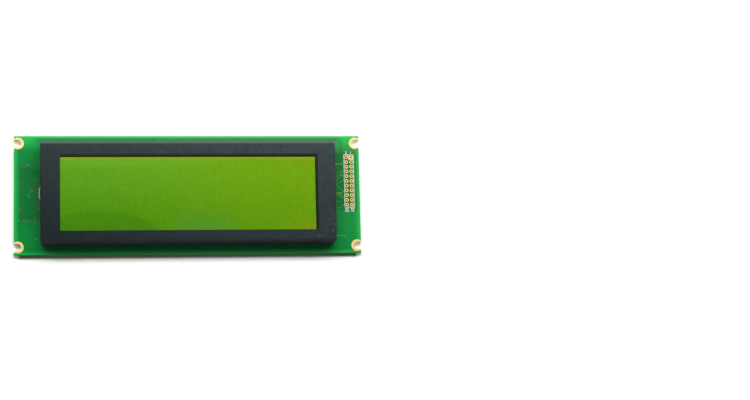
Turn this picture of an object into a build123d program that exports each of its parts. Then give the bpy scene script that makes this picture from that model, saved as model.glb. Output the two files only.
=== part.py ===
from build123d import *
import os

# Graphic display module, upright, seen from the front along +Y.
# +X is to the right, +Z is up, and y = 0 is the front face of the circuit board.
# The origin is the middle of the four corner notches on that face.
# All sizes are in millimetres.

# Circuit board
board_width = 180.0
board_height = 62.5
board_thickness = 1.6
foil = 0.05

# Corner notches, open to the side edges
notch_width = 3.7
notch_centre_inset = 2.0
notch_top_inset = 4.0
notch_land_radius = 3.1
notch_plating = 0.1

# Small holes are cut with this many sides, which is round at their size
hole_sides = 12

# Pin header holes, two columns
header_rows = 11
header_pitch = 2.54
header_edge_inset = 4.2
header_centre_z = 7.0
header_hole_radius = 0.5

# Backlight supply holes
supply_pitch = 5.08
supply_edge_inset = 18.6
supply_centre_z = 0.2
supply_hole_radius = 0.55

# Bezel
bezel_side_margin = 13.8
bezel_top_margin = 5.05
bezel_depth = 11.0
bezel_sheet = 0.5
bezel_corner_radius = 1.2
bezel_edge_radius = 0.6
bezel_inner_bevel = 0.4

# Bezel window
window_side_frame = 10.0
window_top_frame = 6.7
window_corner_radius = 0.6
window_offset_z = -0.83

# Bezel legs
leg_inner_x = 10.3
leg_end_inset = 14.0
leg_width = 9.8
leg_stub = 0.3
leg_side_clearance = 0.25
leg_face_clearance = 0.3
ear_length = 3.2
ear_height = 1.8
ear_slit = 0.3
ear_root_inset = 3.3
ear_post_width = 1.0
ear_angle = 40.0
land_length = 11.1
land_height = 1.9
land_corner = 0.9
tack_length = 4.2
tack_reach = 1.9
tack_height = 0.6
tack_offset_x = 2.9

# Display cell
polarizer_thickness = 0.2
glass_thickness = 1.1
cell_gap = 0.1
seal_width = 1.5
glass_side_clearance = 0.6
glass_height_clearance = 0.3
ledge_height = 3.2
polarizer_margin = 3.0

# Rubber contact strips
strip_end_clearance = 8.7
strip_width = 2.0
strip_glass_inset = 0.3

# Backlight
housing_side_clearance = 0.8
housing_strip_clearance = 0.4
housing_end_wall = 4.8
housing_long_wall = 2.2
diffuser_thickness = 2.0
diffuser_ledge = 1.0
diffuser_clearance = 0.2
led_board_thickness = 1.0
led_columns = 8
led_rows = 2
led_size = 1.2
led_height = 0.5
led_row_spacing = 18.0
led_column_spacing = 16.0

# Backlight pins
pin_end_inset = 1.9
pin_side_inset = 11.7
pin_thickness = 0.5
pin_width = 2.0
pin_slot_clearance = 0.25
pin_tail = 0.9
pin_head = 0.8
solder_width = 2.2
solder_length = 4.3
solder_height = 0.6
solder_chamfer = 0.35

# Controller package
controller_width = 19.8
controller_height = 13.8
controller_thickness = 2.7
controller_edge_inset = 34.1
controller_centre_z = -6.2
controller_lead_pitch = 0.8
controller_lead_width = 0.35
controller_lead_reach = 2.0
controller_leads_upper = 22
controller_leads_lower = 21
controller_leads_outer = 13
controller_leads_inner = 11
controller_first_lead = 2.1
controller_side_first_lead = 2.1

# Memory package
memory_width = 18.0
memory_height = 8.4
memory_thickness = 2.4
memory_edge_inset = 29.2
memory_centre_z = 13.9
memory_leads_per_side = 14
memory_lead_reach = 1.8

# Small outline packages
outline_pitch = 1.27
outline_lead_width = 0.42
outline_thickness = 1.5
outline_body_width = 3.9
outline_lead_reach = 1.05
op_amp_length = 8.65
op_amp_leads_per_side = 7
op_amp_edge_inset = 7.8
op_amp_centre_z = -7.4
converter_length = 4.9
converter_leads_per_side = 4
converter_edge_insets = (4.0, 10.7)
converter_centre_z = 11.2
package_standoff = 0.15
package_draft = 0.25
lead_thickness = 0.15
lead_foot_share = 0.5

# Transistor
transistor_length = 2.9
transistor_width = 1.3
transistor_thickness = 1.0
transistor_lead_pitch = 1.9
transistor_lead_reach = 0.6
transistor_lead_width = 0.4
transistor_edge_inset = 12.4
transistor_top_inset = 6.5

# Drivers under epoxy
glob_radius = 7.1
glob_height = 1.5
glob_slope = 1.2
header_side_globs = ((65.6, 9.5), (94.3, 9.5))
far_side_globs = ((49.6, 9.4), (25.9, 0.2))
die_width = 4.6
die_height = 3.2
die_thickness = 0.4

# Resonator
resonator_length = 7.0
resonator_width = 3.0
resonator_thickness = 1.9
resonator_edge_inset = 14.0
resonator_bottom_inset = 14.9
resonator_feet_pitch = 2.4
resonator_foot_width = 0.8
resonator_foot_reach = 0.6
resonator_foot_thickness = 0.3

# Tantalum capacitors: length, width, thickness
small_tantalum = (3.2, 1.8, 1.6)
large_tantalum = (3.5, 2.9, 1.9)
tantalum_terminal_reach = 0.6
tantalum_terminal_share = 0.7
tantalum_terminal_thickness = 0.9

# Chip parts: length, width, thickness
chip_resistor = (2.0, 1.25, 0.55)
chip_capacitor = (2.0, 1.25, 0.95)

# Glass diodes
diode_radius = 0.75
diode_glass_length = 2.3
diode_cap_length = 0.6
diode_cap_width = 1.6

# Jumper pads
jumper_pad_width = 1.2
jumper_pad_height = 1.0
jumper_pitch = 1.25
long_jumper_pitch = 1.75

# Labels
label_width = 29.8
label_height = 10.2
label_thickness = 0.12
label_corner = 0.9
label_left_place = (67.2, -8.8)
label_left_turn = -0.6
label_right_place = (99.8, -8.3)
label_right_turn = 1.7

# Places of small parts. The first number is the inset from the nearer side edge.
# The second is the inset from the nearer long edge, or in a middle list the z of the centre.
header_side_upper_resistor = (13.3, 3.4)
header_side_upper_capacitor = (13.2, 6.4)
header_side_upper_small_tantalum = (13.2, 9.35)
lying_diode_place = (13.6, 12.6)
header_side_large_tantalum = (13.3, 15.6)
short_jumper_place = (19.3, 3.7)
header_side_lower_resistors = ((11.7, 20.8), (5.8, 19.3), (41.1, 6.9))
header_side_lower_capacitors = ((11.7, 23.7), (11.0, 10.4), (16.7, 10.4), (13.0, 3.8))
header_side_lower_small_tantalum = (13.0, 6.6)
upright_diode_place = (3.9, 14.8)
long_jumper_place = (8.0, 3.9)
far_side_upper_resistors = ((15.9, 7.1), (9.5, 7.0))
far_side_middle_resistor = (15.9, 18.6)
far_side_lower_resistors = ((13.8, 13.9), (11.0, 13.9), (8.0, 13.9), (5.0, 13.9), (1.8, 13.9), (16.7, 13.2))
far_side_middle_capacitors = ((11.2, -0.5), (3.4, -0.5), (29.0, -10.8))
far_side_middle_capacitors_upright = ((13.6, -9.9), (1.9, -9.9))
far_side_large_tantalums = ((10.8, 17.5), (4.2, 17.5), (10.6, 4.8), (4.1, 4.8))
far_side_upright_tantalum = (13.5, 5.7)
driver_capacitors = ((78.0, 2.4), (107.2, 2.7))

# Derived planes and lines
board_back = board_thickness
header_side = board_width / 2
far_side = -board_width / 2
notch_x = board_width / 2 - notch_centre_inset
notch_z = board_height / 2 - notch_top_inset
bezel_width = board_width - 2 * bezel_side_margin
bezel_height = board_height - 2 * bezel_top_margin
window_width = bezel_width - 2 * window_side_frame
window_height = bezel_height - 2 * window_top_frame
leg_outer_x = bezel_width / 2 - leg_end_inset
leg_places_x = (leg_inner_x, (leg_inner_x + leg_outer_x) / 2, leg_outer_x)
leg_z = bezel_height / 2 - bezel_sheet / 2
slot_length = leg_width + 2 * leg_side_clearance
slot_height = bezel_sheet + 2 * leg_face_clearance
header_x = (header_side - header_edge_inset, header_side - header_edge_inset - header_pitch)
header_top_z = header_centre_z + (header_rows - 1) / 2 * header_pitch
inner_width = bezel_width - 2 * bezel_sheet
inner_height = bezel_height - 2 * bezel_sheet
front_film_y = bezel_sheet - bezel_depth
front_glass_y = front_film_y + polarizer_thickness
cell_y = front_glass_y + glass_thickness
rear_glass_y = cell_y + cell_gap
rear_film_y = rear_glass_y + glass_thickness
housing_y = rear_film_y + polarizer_thickness
front_glass_width = inner_width - 2 * glass_side_clearance
front_glass_height = inner_height - 2 * glass_height_clearance
rear_glass_height = front_glass_height - 2 * ledge_height
strip_z = front_glass_height / 2 - strip_glass_inset - strip_width / 2
housing_width = inner_width - 2 * housing_side_clearance
housing_height = 2 * (strip_z - strip_width / 2 - housing_strip_clearance)
strip_length = inner_width - 2 * strip_end_clearance
pin_x = housing_width / 2 - pin_end_inset
pin_z = housing_height / 2 - pin_side_inset
cavity_width = housing_width - 2 * housing_end_wall
cavity_height = housing_height - 2 * housing_long_wall
pin_slot = (pin_thickness + 2 * pin_slot_clearance, pin_width + 2 * pin_slot_clearance)


def plate(outline, front, back):
    """A flat piece with this outline in X and Z, from y = front to y = back."""
    return extrude(Plane.XZ.offset(-back) * outline, amount=back - front)


def block(x, z, width, height, front, back):
    """A rectangular piece whose middle is at x and z."""
    return plate(Pos(x, z) * Rectangle(width, height), front, back)


def on_back(outline, thickness):
    """A flat piece that lies on the component side of the board."""
    return plate(outline, board_back, board_back + thickness)


def write(node, *pieces):
    """Writes one named sub-part, which may be a group of separate solids."""
    solids = [solid for piece in pieces for solid in piece.solids()]
    export_step(Compound(solids), os.path.join("parts", node + ".step"))


def front_edges(solid):
    """The edges round the face that looks furthest forward."""
    return solid.faces().sort_by(Axis.Y)[0].edges()


def four(x, z):
    """The four places that mirror x and z about the board's middle."""
    return [(x, z), (-x, z), (-x, -z), (x, -z)]


def header_middle(place):
    """X and Z from an inset from the header's side edge and a z."""
    return header_side - place[0], place[1]


def header_upper(place):
    """X and Z from insets from the header's side edge and the upper long edge."""
    return header_side - place[0], board_height / 2 - place[1]


def header_lower(place):
    """X and Z from insets from the header's side edge and the lower long edge."""
    return header_side - place[0], place[1] - board_height / 2


def far_middle(place):
    """X and Z from an inset from the far side edge and a z."""
    return far_side + place[0], place[1]


def far_upper(place):
    """X and Z from insets from the far side edge and the upper long edge."""
    return far_side + place[0], board_height / 2 - place[1]


def far_lower(place):
    """X and Z from insets from the far side edge and the lower long edge."""
    return far_side + place[0], place[1] - board_height / 2


# Board and its plated metal

def notch(radius, side, z):
    """The outline of a corner notch: round inside, open to the side edge."""
    mouth = 2 * notch_centre_inset
    centre = Pos(side * notch_x, z) * Circle(radius)
    return centre + Pos(side * (notch_x + mouth / 2), z) * Rectangle(mouth, 2 * radius)


def corner_land(side, z):
    """A gold ring on both faces and the plated wall that joins them."""
    open_radius = notch_width / 2
    board_outline = Rectangle(board_width, board_height)
    ring = Pos(side * notch_x, z) * RegularPolygon(notch_land_radius, 16) - notch(open_radius, side, z)
    wall = notch(open_radius + notch_plating, side, z) - notch(open_radius, side, z)
    flat = ring & board_outline
    lining = wall & board_outline
    faces = plate(flat, -foil, 0) + plate(flat, board_back, board_back + foil)
    return faces + plate(lining, -foil, board_back + foil)


def leg_places():
    """The side, x and z signs of the twelve legs."""
    return [(side * x, side, top) for top in (1, -1) for side in (1, -1) for x in leg_places_x]


def header_places():
    """The 22 header holes from pin 1, row by row."""
    return [(x, header_top_z - row * header_pitch) for row in range(header_rows) for x in header_x]


def supply_places():
    """The two holes of the backlight supply."""
    x = header_side - supply_edge_inset
    return [(x, supply_centre_z + supply_pitch / 2), (x, supply_centre_z - supply_pitch / 2)]


def main_board():
    """The circuit board with its notches, slots and holes."""
    outline = Rectangle(board_width, board_height)
    for side, top in ((1, 1), (1, -1), (-1, 1), (-1, -1)):
        outline -= notch(notch_width / 2 + notch_plating, side, top * notch_z)
    for x, side, top in leg_places():
        outline -= Pos(x, top * leg_z) * Rectangle(slot_length, slot_height)
    for x, z in header_places():
        outline -= Pos(x, z) * RegularPolygon(header_hole_radius, hole_sides)
    for x, z in supply_places():
        outline -= Pos(x, z) * RegularPolygon(supply_hole_radius, hole_sides)
    for x, z in four(pin_x, pin_z):
        outline -= Pos(x, z) * Rectangle(*pin_slot)
    return plate(outline, 0, board_back)


def slot_land(x, top):
    """The gold land on the inner side of a slot."""
    land = Rectangle(land_length, land_height)
    inner_corners = land.vertices().sort_by(Axis.Y)[:2]
    land = chamfer(inner_corners, land_corner)
    centre_z = leg_z - slot_height / 2 - land_height / 2
    return on_back(Pos(x, top * centre_z) * Rot(0, 0, 90 - top * 90) * land, foil)


def jumpers():
    """Two pads in a column near the top edge and three near the bottom edge."""
    pad = Rectangle(jumper_pad_width, jumper_pad_height)
    x, z = header_upper(short_jumper_place)
    short = [on_back(Pos(x, z + step * jumper_pitch) * pad, foil) for step in (-0.5, 0.5)]
    x, z = header_lower(long_jumper_place)
    long = [on_back(Pos(x, z + step * long_jumper_pitch) * pad, foil) for step in (-1, 0, 1)]
    return short + long


# Bezel

def leg(x, side, top):
    """A leg through its slot, with an ear slit from it and bent inward over the land."""
    z = top * leg_z
    stem = block(x, z, leg_width, bezel_sheet, 0, board_back + leg_stub)
    root_x = x + side * (leg_width / 2 - ear_root_inset)
    post = block(root_x, z, ear_post_width, bezel_sheet, 0, board_back + ear_height)
    flat = Pos(ear_length / 2, 0) * Rectangle(ear_length, bezel_sheet)
    direction = -top * side * ear_angle if side > 0 else 180 - top * side * ear_angle
    ear = plate(Pos(root_x, z) * Rot(0, 0, direction) * flat,
                board_back + ear_slit, board_back + ear_height)
    return stem + post + ear


def bezel():
    """One steel sheet: front frame, four walls and twelve legs."""
    outer = plate(RectangleRounded(bezel_width, bezel_height, bezel_corner_radius), -bezel_depth, 0)
    outer = fillet(front_edges(outer), bezel_edge_radius)
    inner = plate(RectangleRounded(inner_width, inner_height, bezel_corner_radius - bezel_sheet),
                  front_film_y, 0)
    inner = chamfer(front_edges(inner), bezel_inner_bevel)
    window = Pos(0, window_offset_z) * RectangleRounded(
        window_width, window_height, window_corner_radius)
    shell = outer - inner - plate(window, -bezel_depth, front_film_y)
    for x, side, top in leg_places():
        shell += leg(x, side, top)
    return shell


def solder_tack():
    """Solder on the land beside one leg at the upper row's header end."""
    x = leg_places_x[-1] - tack_offset_x
    inner_edge = leg_z - bezel_sheet / 2
    profile = [(board_back + foil, inner_edge), (board_back + tack_height, inner_edge),
               (board_back + foil, inner_edge - tack_reach)]
    face = make_face(Polyline(*[(0, y, z) for y, z in profile], close=True))
    return Pos(x, 0, 0) * extrude(face, amount=tack_length / 2, dir=(1, 0, 0), both=True)


# Display cell and backlight

def cell_outline():
    """The area that the seal runs round."""
    return Rectangle(front_glass_width, rear_glass_height)


def film(front):
    """A polarising film, as large as the rear glass less its margin."""
    size = Rectangle(front_glass_width - 2 * polarizer_margin, rear_glass_height - 2 * diffuser_ledge)
    return plate(size, front, front + polarizer_thickness)


def seal():
    """The thin glue frame between the two glasses."""
    core = Rectangle(front_glass_width - 2 * seal_width, rear_glass_height - 2 * seal_width)
    return plate(cell_outline() - core, cell_y, rear_glass_y), plate(core, cell_y, rear_glass_y)


def backlight_housing():
    """A white moulded frame with a ledge for the diffuser and a pocket over each pin."""
    housing = block(0, 0, housing_width, housing_height, housing_y, -led_board_thickness)
    housing -= block(0, 0, cavity_width, cavity_height, housing_y, -led_board_thickness)
    recess = (cavity_width + 2 * diffuser_ledge, cavity_height + 2 * diffuser_ledge)
    housing -= block(0, 0, *recess, housing_y, housing_y + diffuser_thickness)
    for x, z in four(pin_x, pin_z):
        housing -= block(x, z, *pin_slot, -led_board_thickness - pin_head - pin_slot_clearance,
                         -led_board_thickness)
    return housing


def backlight_diffuser():
    """The milky light panel that lies on the housing's ledge."""
    gap = 2 * diffuser_clearance
    width = cavity_width + 2 * diffuser_ledge - gap
    height = cavity_height + 2 * diffuser_ledge - gap
    return block(0, 0, width, height, housing_y, housing_y + diffuser_thickness)


def backlight_board():
    """The thin board that carries the light emitting diodes."""
    outline = Rectangle(housing_width, housing_height)
    for x, z in four(pin_x, pin_z):
        outline -= Pos(x, z) * Rectangle(*pin_slot)
    return plate(outline, -led_board_thickness, 0)


def backlight_leds():
    """Rows of small light emitting diodes."""
    grid = GridLocations(led_column_spacing, led_row_spacing, led_columns, led_rows)
    back = -led_board_thickness
    return [plate(place * Rectangle(led_size, led_size), back - led_height, back) for place in grid]


def backlight_pins():
    """Flat pins from the light board through the main board."""
    places = four(pin_x, pin_z)
    front = -led_board_thickness - pin_head
    return [block(x, z, pin_thickness, pin_width, front, board_back + pin_tail) for x, z in places]


def backlight_solder():
    """An oval solder mound round each pin."""
    outline = Rectangle(solder_width, solder_length)
    outline = chamfer(outline.vertices(), solder_width / 4)
    mound = on_back(outline, solder_height)
    mound = chamfer(mound.faces().sort_by(Axis.Y)[-1].edges(), solder_chamfer)
    mound -= block(0, 0, pin_thickness, pin_width, board_back, board_back + solder_height)
    return [Pos(x, 0, z) * mound for x, z in four(pin_x, pin_z)]


# Packages

def package(x, z, width, height, thickness):
    """A moulded body with drafted sides, parted at half its thickness."""
    middle = board_back + package_standoff + thickness / 2
    half = thickness / 2
    taper = package_draft / half
    body = None
    for way in (1, -1):
        wide = Plane.XZ.offset(-middle) * Rectangle(width, height)
        narrow = Plane.XZ.offset(-middle - way * half) * Rectangle(
            width - 2 * taper * half, height - 2 * taper * half)
        part = loft([wide, narrow])
        body = part if body is None else body + part
    return Pos(x, 0, z) * body


def gull_lead(reach, thickness, width):
    """One lead that leaves the package at half height and slopes down to a foot, outward +Z."""
    shoulder_y = board_back + package_standoff + thickness / 2 - lead_thickness / 2
    foot = lead_foot_share * reach
    top = board_back + lead_thickness
    profile = [(shoulder_y, 0), (board_back, foot), (board_back, reach), (top, reach),
               (top, foot + lead_thickness), (shoulder_y + lead_thickness, 0)]
    face = make_face(Polyline(*[(0, y, z) for y, z in profile], close=True))
    return extrude(face, amount=width / 2, dir=(1, 0, 0), both=True)


def leads_along(lead, places, turn):
    """Copies of a lead at the given x and z, turned about Y."""
    return [Pos(x, 0, z) * Rot(0, turn, 0) * lead for x, z in places]


def spread(count, pitch):
    """Offsets of a centred row."""
    return [(index - (count - 1) / 2) * pitch for index in range(count)]


def outline_leads(x, z, length_side, body_width, leads_per_side, reach, thickness, upright):
    """Two rows of leads on a small outline package, along X or, when upright, along Z."""
    lead = gull_lead(reach, thickness, outline_lead_width)
    edge = body_width / 2
    offsets = spread(leads_per_side, outline_pitch)
    if upright:
        return (leads_along(lead, [(x + edge, z + step) for step in offsets], 90)
                + leads_along(lead, [(x - edge, z + step) for step in offsets], -90))
    return (leads_along(lead, [(x + step, z + edge) for step in offsets], 0)
            + leads_along(lead, [(x + step, z - edge) for step in offsets], 180))


def controller_leads():
    """Four rows of fine leads, counted from the lower corner on the header side."""
    lead = gull_lead(controller_lead_reach, controller_thickness, controller_lead_width)
    x = header_side - controller_edge_inset
    z = controller_centre_z
    first_x = x + controller_width / 2 - controller_first_lead
    first_z = z - controller_height / 2 + controller_side_first_lead
    upper = [(first_x - n * controller_lead_pitch, z + controller_height / 2)
             for n in range(controller_leads_upper)]
    lower = [(first_x - n * controller_lead_pitch, z - controller_height / 2)
             for n in range(controller_leads_lower)]
    outer = [(x + controller_width / 2, first_z + n * controller_lead_pitch)
             for n in range(controller_leads_outer)]
    inner = [(x - controller_width / 2, first_z + n * controller_lead_pitch)
             for n in range(controller_leads_inner)]
    return (leads_along(lead, upper, 0) + leads_along(lead, lower, 180)
            + leads_along(lead, outer, 90) + leads_along(lead, inner, -90))


def transistor_leads(x, z):
    """Two feet below and one above."""
    lead = gull_lead(transistor_lead_reach, transistor_thickness, transistor_lead_width)
    half = transistor_width / 2
    below = [(x - transistor_lead_pitch / 2, z - half), (x + transistor_lead_pitch / 2, z - half)]
    return leads_along(lead, [(x, z + half)], 0) + leads_along(lead, below, 180)


def glob_places():
    """Where the four driver dies sit, from the header's side to the far side."""
    return ([header_middle(place) for place in header_side_globs]
            + [far_middle(place) for place in far_side_globs])


def glob(x, z):
    """An epoxy drop with a sloped shoulder, moulded over its die."""
    drop = Cone(glob_radius, glob_radius - glob_slope, glob_height)
    drop = Rot(-90, 0, 0) * drop
    return Pos(x, board_back + glob_height / 2, z) * drop - die(x, z)


def die(x, z):
    """The silicon die glued to the board."""
    return block(x, z, die_width, die_height, board_back, board_back + die_thickness)


# Small parts

def brick(x, z, size, upright):
    """A rectangular part of given length, width and thickness."""
    length, width, thickness = size
    wide, high = (width, length) if upright else (length, width)
    return block(x, z, wide, high, board_back, board_back + thickness)


def bricks(places, size, upright):
    """The same rectangular part at each place."""
    return [brick(x, z, size, upright) for x, z in places]


def tantalum(x, z, size, upright):
    """A moulded capacitor body and the metal tabs at its ends."""
    length, width, thickness = size
    tab = (tantalum_terminal_reach, width * tantalum_terminal_share, tantalum_terminal_thickness)
    offset = length / 2 + tantalum_terminal_reach / 2
    tabs = [brick(x + way * offset * (not upright), z + way * offset * upright, tab, upright)
            for way in (-1, 1)]
    return brick(x, z, size, upright), tabs


def diode(x, z, upright):
    """A glass cylinder and its two square metal caps, lying on the board."""
    place = Pos(x, board_back + diode_cap_width / 2, z) * Rot(0, 0 if upright else 90, 0)
    offset = (diode_glass_length + diode_cap_length) / 2
    glass = place * Cylinder(diode_radius, diode_glass_length)
    cap = Box(diode_cap_width, diode_cap_width, diode_cap_length)
    return glass, [place * Pos(0, 0, way * offset) * cap for way in (-1, 1)]


def label(place, turn):
    """A thin sticker with its corners cut off."""
    sheet = Rectangle(label_width, label_height)
    sheet = chamfer(sheet.vertices(), label_corner)
    return on_back(Pos(*header_middle(place)) * Rot(0, 0, turn) * sheet, label_thickness)


def chip_parts():
    """Every chip resistor and every chip capacitor."""
    lying_resistors = [header_upper(header_side_upper_resistor)]
    lying_resistors += [header_lower(place) for place in header_side_lower_resistors]
    upright_resistors = [far_upper(place) for place in far_side_upper_resistors]
    upright_resistors += [far_middle(far_side_middle_resistor)]
    upright_resistors += [far_lower(place) for place in far_side_lower_resistors]
    lying_capacitors = [header_upper(header_side_upper_capacitor)]
    lying_capacitors += [header_lower(place) for place in header_side_lower_capacitors]
    lying_capacitors += [far_middle(place) for place in far_side_middle_capacitors]
    lying_capacitors += [header_middle(place) for place in driver_capacitors]
    upright_capacitors = [far_middle(place) for place in far_side_middle_capacitors_upright]
    return (bricks(lying_resistors, chip_resistor, False) + bricks(upright_resistors, chip_resistor, True),
            bricks(lying_capacitors, chip_capacitor, False)
            + bricks(upright_capacitors, chip_capacitor, True))


def tantalums():
    """The small and the large tantalum capacitors and all their tabs."""
    small = [tantalum(*header_upper(header_side_upper_small_tantalum), small_tantalum, False),
             tantalum(*header_lower(header_side_lower_small_tantalum), small_tantalum, False)]
    large = [tantalum(*header_upper(header_side_large_tantalum), large_tantalum, False)]
    large += [tantalum(*far_middle(place), large_tantalum, False) for place in far_side_large_tantalums]
    large += [tantalum(*far_lower(far_side_upright_tantalum), large_tantalum, True)]
    tabs = [tab for part in small + large for tab in part[1]]
    return [part[0] for part in small], [part[0] for part in large], tabs


def resonator():
    """A black block with three tin feet above and below."""
    x = header_side - resonator_edge_inset
    z = -board_height / 2 + resonator_bottom_inset
    body = block(x, z, resonator_length, resonator_width, board_back, board_back + resonator_thickness)
    offset = (resonator_width + resonator_foot_reach) / 2
    feet = [block(x + step, z + way * offset, resonator_foot_width, resonator_foot_reach,
                  board_back, board_back + resonator_foot_thickness)
            for step in spread(3, resonator_feet_pitch) for way in (-1, 1)]
    return body, feet


os.makedirs("parts", exist_ok=True)

write("main_board", main_board())
write("corner_lands", *[corner_land(side, top * notch_z) for side in (1, -1) for top in (1, -1)])
write("slot_lands", *[slot_land(x, top) for x, side, top in leg_places()])
write("jumper_pads", *jumpers())

write("bezel", bezel())
write("bezel_solder_tack", solder_tack())

write("front_polarizer", film(front_film_y))
write("front_glass", block(0, 0, front_glass_width, front_glass_height, front_glass_y, cell_y))
seal_frame, crystal = seal()
write("cell_seal", seal_frame)
write("liquid_crystal", crystal)
write("rear_glass", plate(cell_outline(), rear_glass_y, rear_film_y))
write("rear_polarizer", film(rear_film_y))
write("zebra_strip_upper", block(0, strip_z, strip_length, strip_width, cell_y, 0))
write("zebra_strip_lower", block(0, -strip_z, strip_length, strip_width, cell_y, 0))
write("backlight_housing", backlight_housing())
write("backlight_diffuser", backlight_diffuser())
write("backlight_board", backlight_board())
write("backlight_leds", *backlight_leds())
write("backlight_pins", *backlight_pins())
write("backlight_solder", *backlight_solder())

controller_x = header_side - controller_edge_inset
write("controller_chip", package(controller_x, controller_centre_z, controller_width,
                                 controller_height, controller_thickness))
write("controller_leads", *controller_leads())
memory_x = header_side - memory_edge_inset
write("memory_chip", package(memory_x, memory_centre_z, memory_width, memory_height, memory_thickness))
write("memory_leads", *outline_leads(memory_x, memory_centre_z, memory_width, memory_height,
                                     memory_leads_per_side, memory_lead_reach, memory_thickness, False))
op_amp_x = far_side + op_amp_edge_inset
write("op_amp_chip", package(op_amp_x, op_amp_centre_z, outline_body_width, op_amp_length,
                             outline_thickness))
write("op_amp_leads", *outline_leads(op_amp_x, op_amp_centre_z, op_amp_length, outline_body_width,
                                     op_amp_leads_per_side, outline_lead_reach, outline_thickness, True))
converter_xs = [far_side + inset for inset in converter_edge_insets]
write("converter_chips", *[package(x, converter_centre_z, converter_length, outline_body_width,
                                   outline_thickness) for x in converter_xs])
write("converter_leads", *[lead for x in converter_xs for lead in outline_leads(
    x, converter_centre_z, converter_length, outline_body_width, converter_leads_per_side,
    outline_lead_reach, outline_thickness, False)])
transistor_x = far_side + transistor_edge_inset
transistor_z = board_height / 2 - transistor_top_inset
write("transistor", package(transistor_x, transistor_z, transistor_length, transistor_width,
                            transistor_thickness))
write("transistor_leads", *transistor_leads(transistor_x, transistor_z))

write("driver_globs", *[glob(x, z) for x, z in glob_places()])
write("driver_dies", *[die(x, z) for x, z in glob_places()])

resonator_body, resonator_feet = resonator()
write("resonator", resonator_body)
write("resonator_feet", *resonator_feet)
resistors, capacitors = chip_parts()
write("chip_resistors", *resistors)
write("chip_capacitors", *capacitors)
small_tantalums, large_tantalums, tantalum_tabs = tantalums()
write("tantalum_capacitors_small", *small_tantalums)
write("tantalum_capacitors_large", *large_tantalums)
write("tantalum_terminals", *tantalum_tabs)
lying_glass, lying_caps = diode(*header_upper(lying_diode_place), False)
upright_glass, upright_caps = diode(*header_lower(upright_diode_place), True)
write("glass_diodes", lying_glass, upright_glass)
write("diode_caps", *lying_caps, *upright_caps)
write("label_left", label(label_left_place, label_left_turn))
write("label_right", label(label_right_place, label_right_turn))
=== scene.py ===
import math

import bmesh
import bpy
from mathutils import Matrix, Vector


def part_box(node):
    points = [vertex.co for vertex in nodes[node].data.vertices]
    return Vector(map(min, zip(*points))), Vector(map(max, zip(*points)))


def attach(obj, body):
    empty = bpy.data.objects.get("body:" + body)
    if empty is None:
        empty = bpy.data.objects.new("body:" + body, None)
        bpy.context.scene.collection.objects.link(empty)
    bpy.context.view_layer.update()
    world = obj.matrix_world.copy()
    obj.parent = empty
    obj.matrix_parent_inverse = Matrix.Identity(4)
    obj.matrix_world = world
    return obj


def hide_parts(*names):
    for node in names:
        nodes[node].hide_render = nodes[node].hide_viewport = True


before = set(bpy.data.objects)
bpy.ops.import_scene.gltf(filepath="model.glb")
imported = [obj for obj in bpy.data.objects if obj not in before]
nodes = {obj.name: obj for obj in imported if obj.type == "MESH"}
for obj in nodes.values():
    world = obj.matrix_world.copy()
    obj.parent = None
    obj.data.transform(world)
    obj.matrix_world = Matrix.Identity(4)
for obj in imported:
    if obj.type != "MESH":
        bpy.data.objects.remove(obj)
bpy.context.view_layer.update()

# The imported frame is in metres, with the board's front face at y = 0 and the display looking to -Y.
# Sizes below are in millimetres and are turned into metres where a piece is made.
MM = 0.001
FRONT = -1
BACK = 1

board_low, board_high = (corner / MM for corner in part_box("main_board"))
bezel_low, bezel_high = (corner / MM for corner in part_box("bezel"))
BOARD_BACK = board_high.y
FOIL = 0.02
LOW_FOIL = 0.012
INK = 0.03


# Camera, fitted to the picture of 750 by 400 pixels

CAMERA_PLACE = (-46.4, -1064.1, -183.1)
CAMERA_FOCUS = (98.09, 0.0, -3.29)
CAMERA_ROLL = 1.536
CAMERA_LENS = 98.95


def make_camera():
    """The camera stands a little to the left of the display and below it."""
    place, focus = Vector(CAMERA_PLACE) * MM, Vector(CAMERA_FOCUS) * MM
    bpy.ops.object.camera_add(location=place)
    camera = bpy.context.object
    camera.name = "camera"
    aim = (focus - place).to_track_quat("-Z", "Y").to_matrix().to_4x4()
    roll = Matrix.Rotation(math.radians(-CAMERA_ROLL), 4, "Z")
    camera.matrix_world = Matrix.Translation(place) @ aim @ roll
    camera.data.sensor_width = 36
    camera.data.lens = CAMERA_LENS
    camera.data.clip_start = 0.01
    camera.data.clip_end = 20
    bpy.context.scene.camera = camera


# Small tools for modelling

def take(*pieces):
    """Selects only these pieces and makes the first one active."""
    bpy.ops.object.select_all(action="DESELECT")
    for piece in pieces:
        piece.select_set(True)
    bpy.context.view_layer.objects.active = pieces[0]


def settle(piece, name):
    """Puts the place and turn of a new piece into its mesh."""
    take(piece)
    bpy.ops.object.transform_apply(location=True, rotation=True, scale=True)
    piece.name = name
    return piece


def join(pieces, name):
    """One piece made of several."""
    take(*pieces)
    if len(pieces) > 1:
        bpy.ops.object.join()
    joined = bpy.context.object
    joined.name = name
    return joined


def block(centre, size, bevel=0.0, segments=2):
    """A block with softened edges, its middle at centre."""
    bpy.ops.object.select_all(action="DESELECT")
    bpy.ops.mesh.primitive_cube_add(size=1, location=Vector(centre) * MM)
    piece = bpy.context.object
    piece.scale = Vector(size) * MM
    settle(piece, "block")
    if bevel:
        add_bevel(piece, bevel, segments)
    return piece


def add_bevel(piece, width, segments=2):
    """Rounds the sharp edges of a piece."""
    take(piece)
    soft = piece.modifiers.new("soft edges", "BEVEL")
    soft.width = width * MM
    soft.segments = segments
    soft.limit_method = "ANGLE"
    soft.angle_limit = math.radians(40)
    bpy.ops.object.modifier_apply(modifier=soft.name)


def smooth(piece, angle=35):
    take(piece)
    bpy.ops.object.shade_smooth_by_angle(angle=math.radians(angle))


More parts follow.
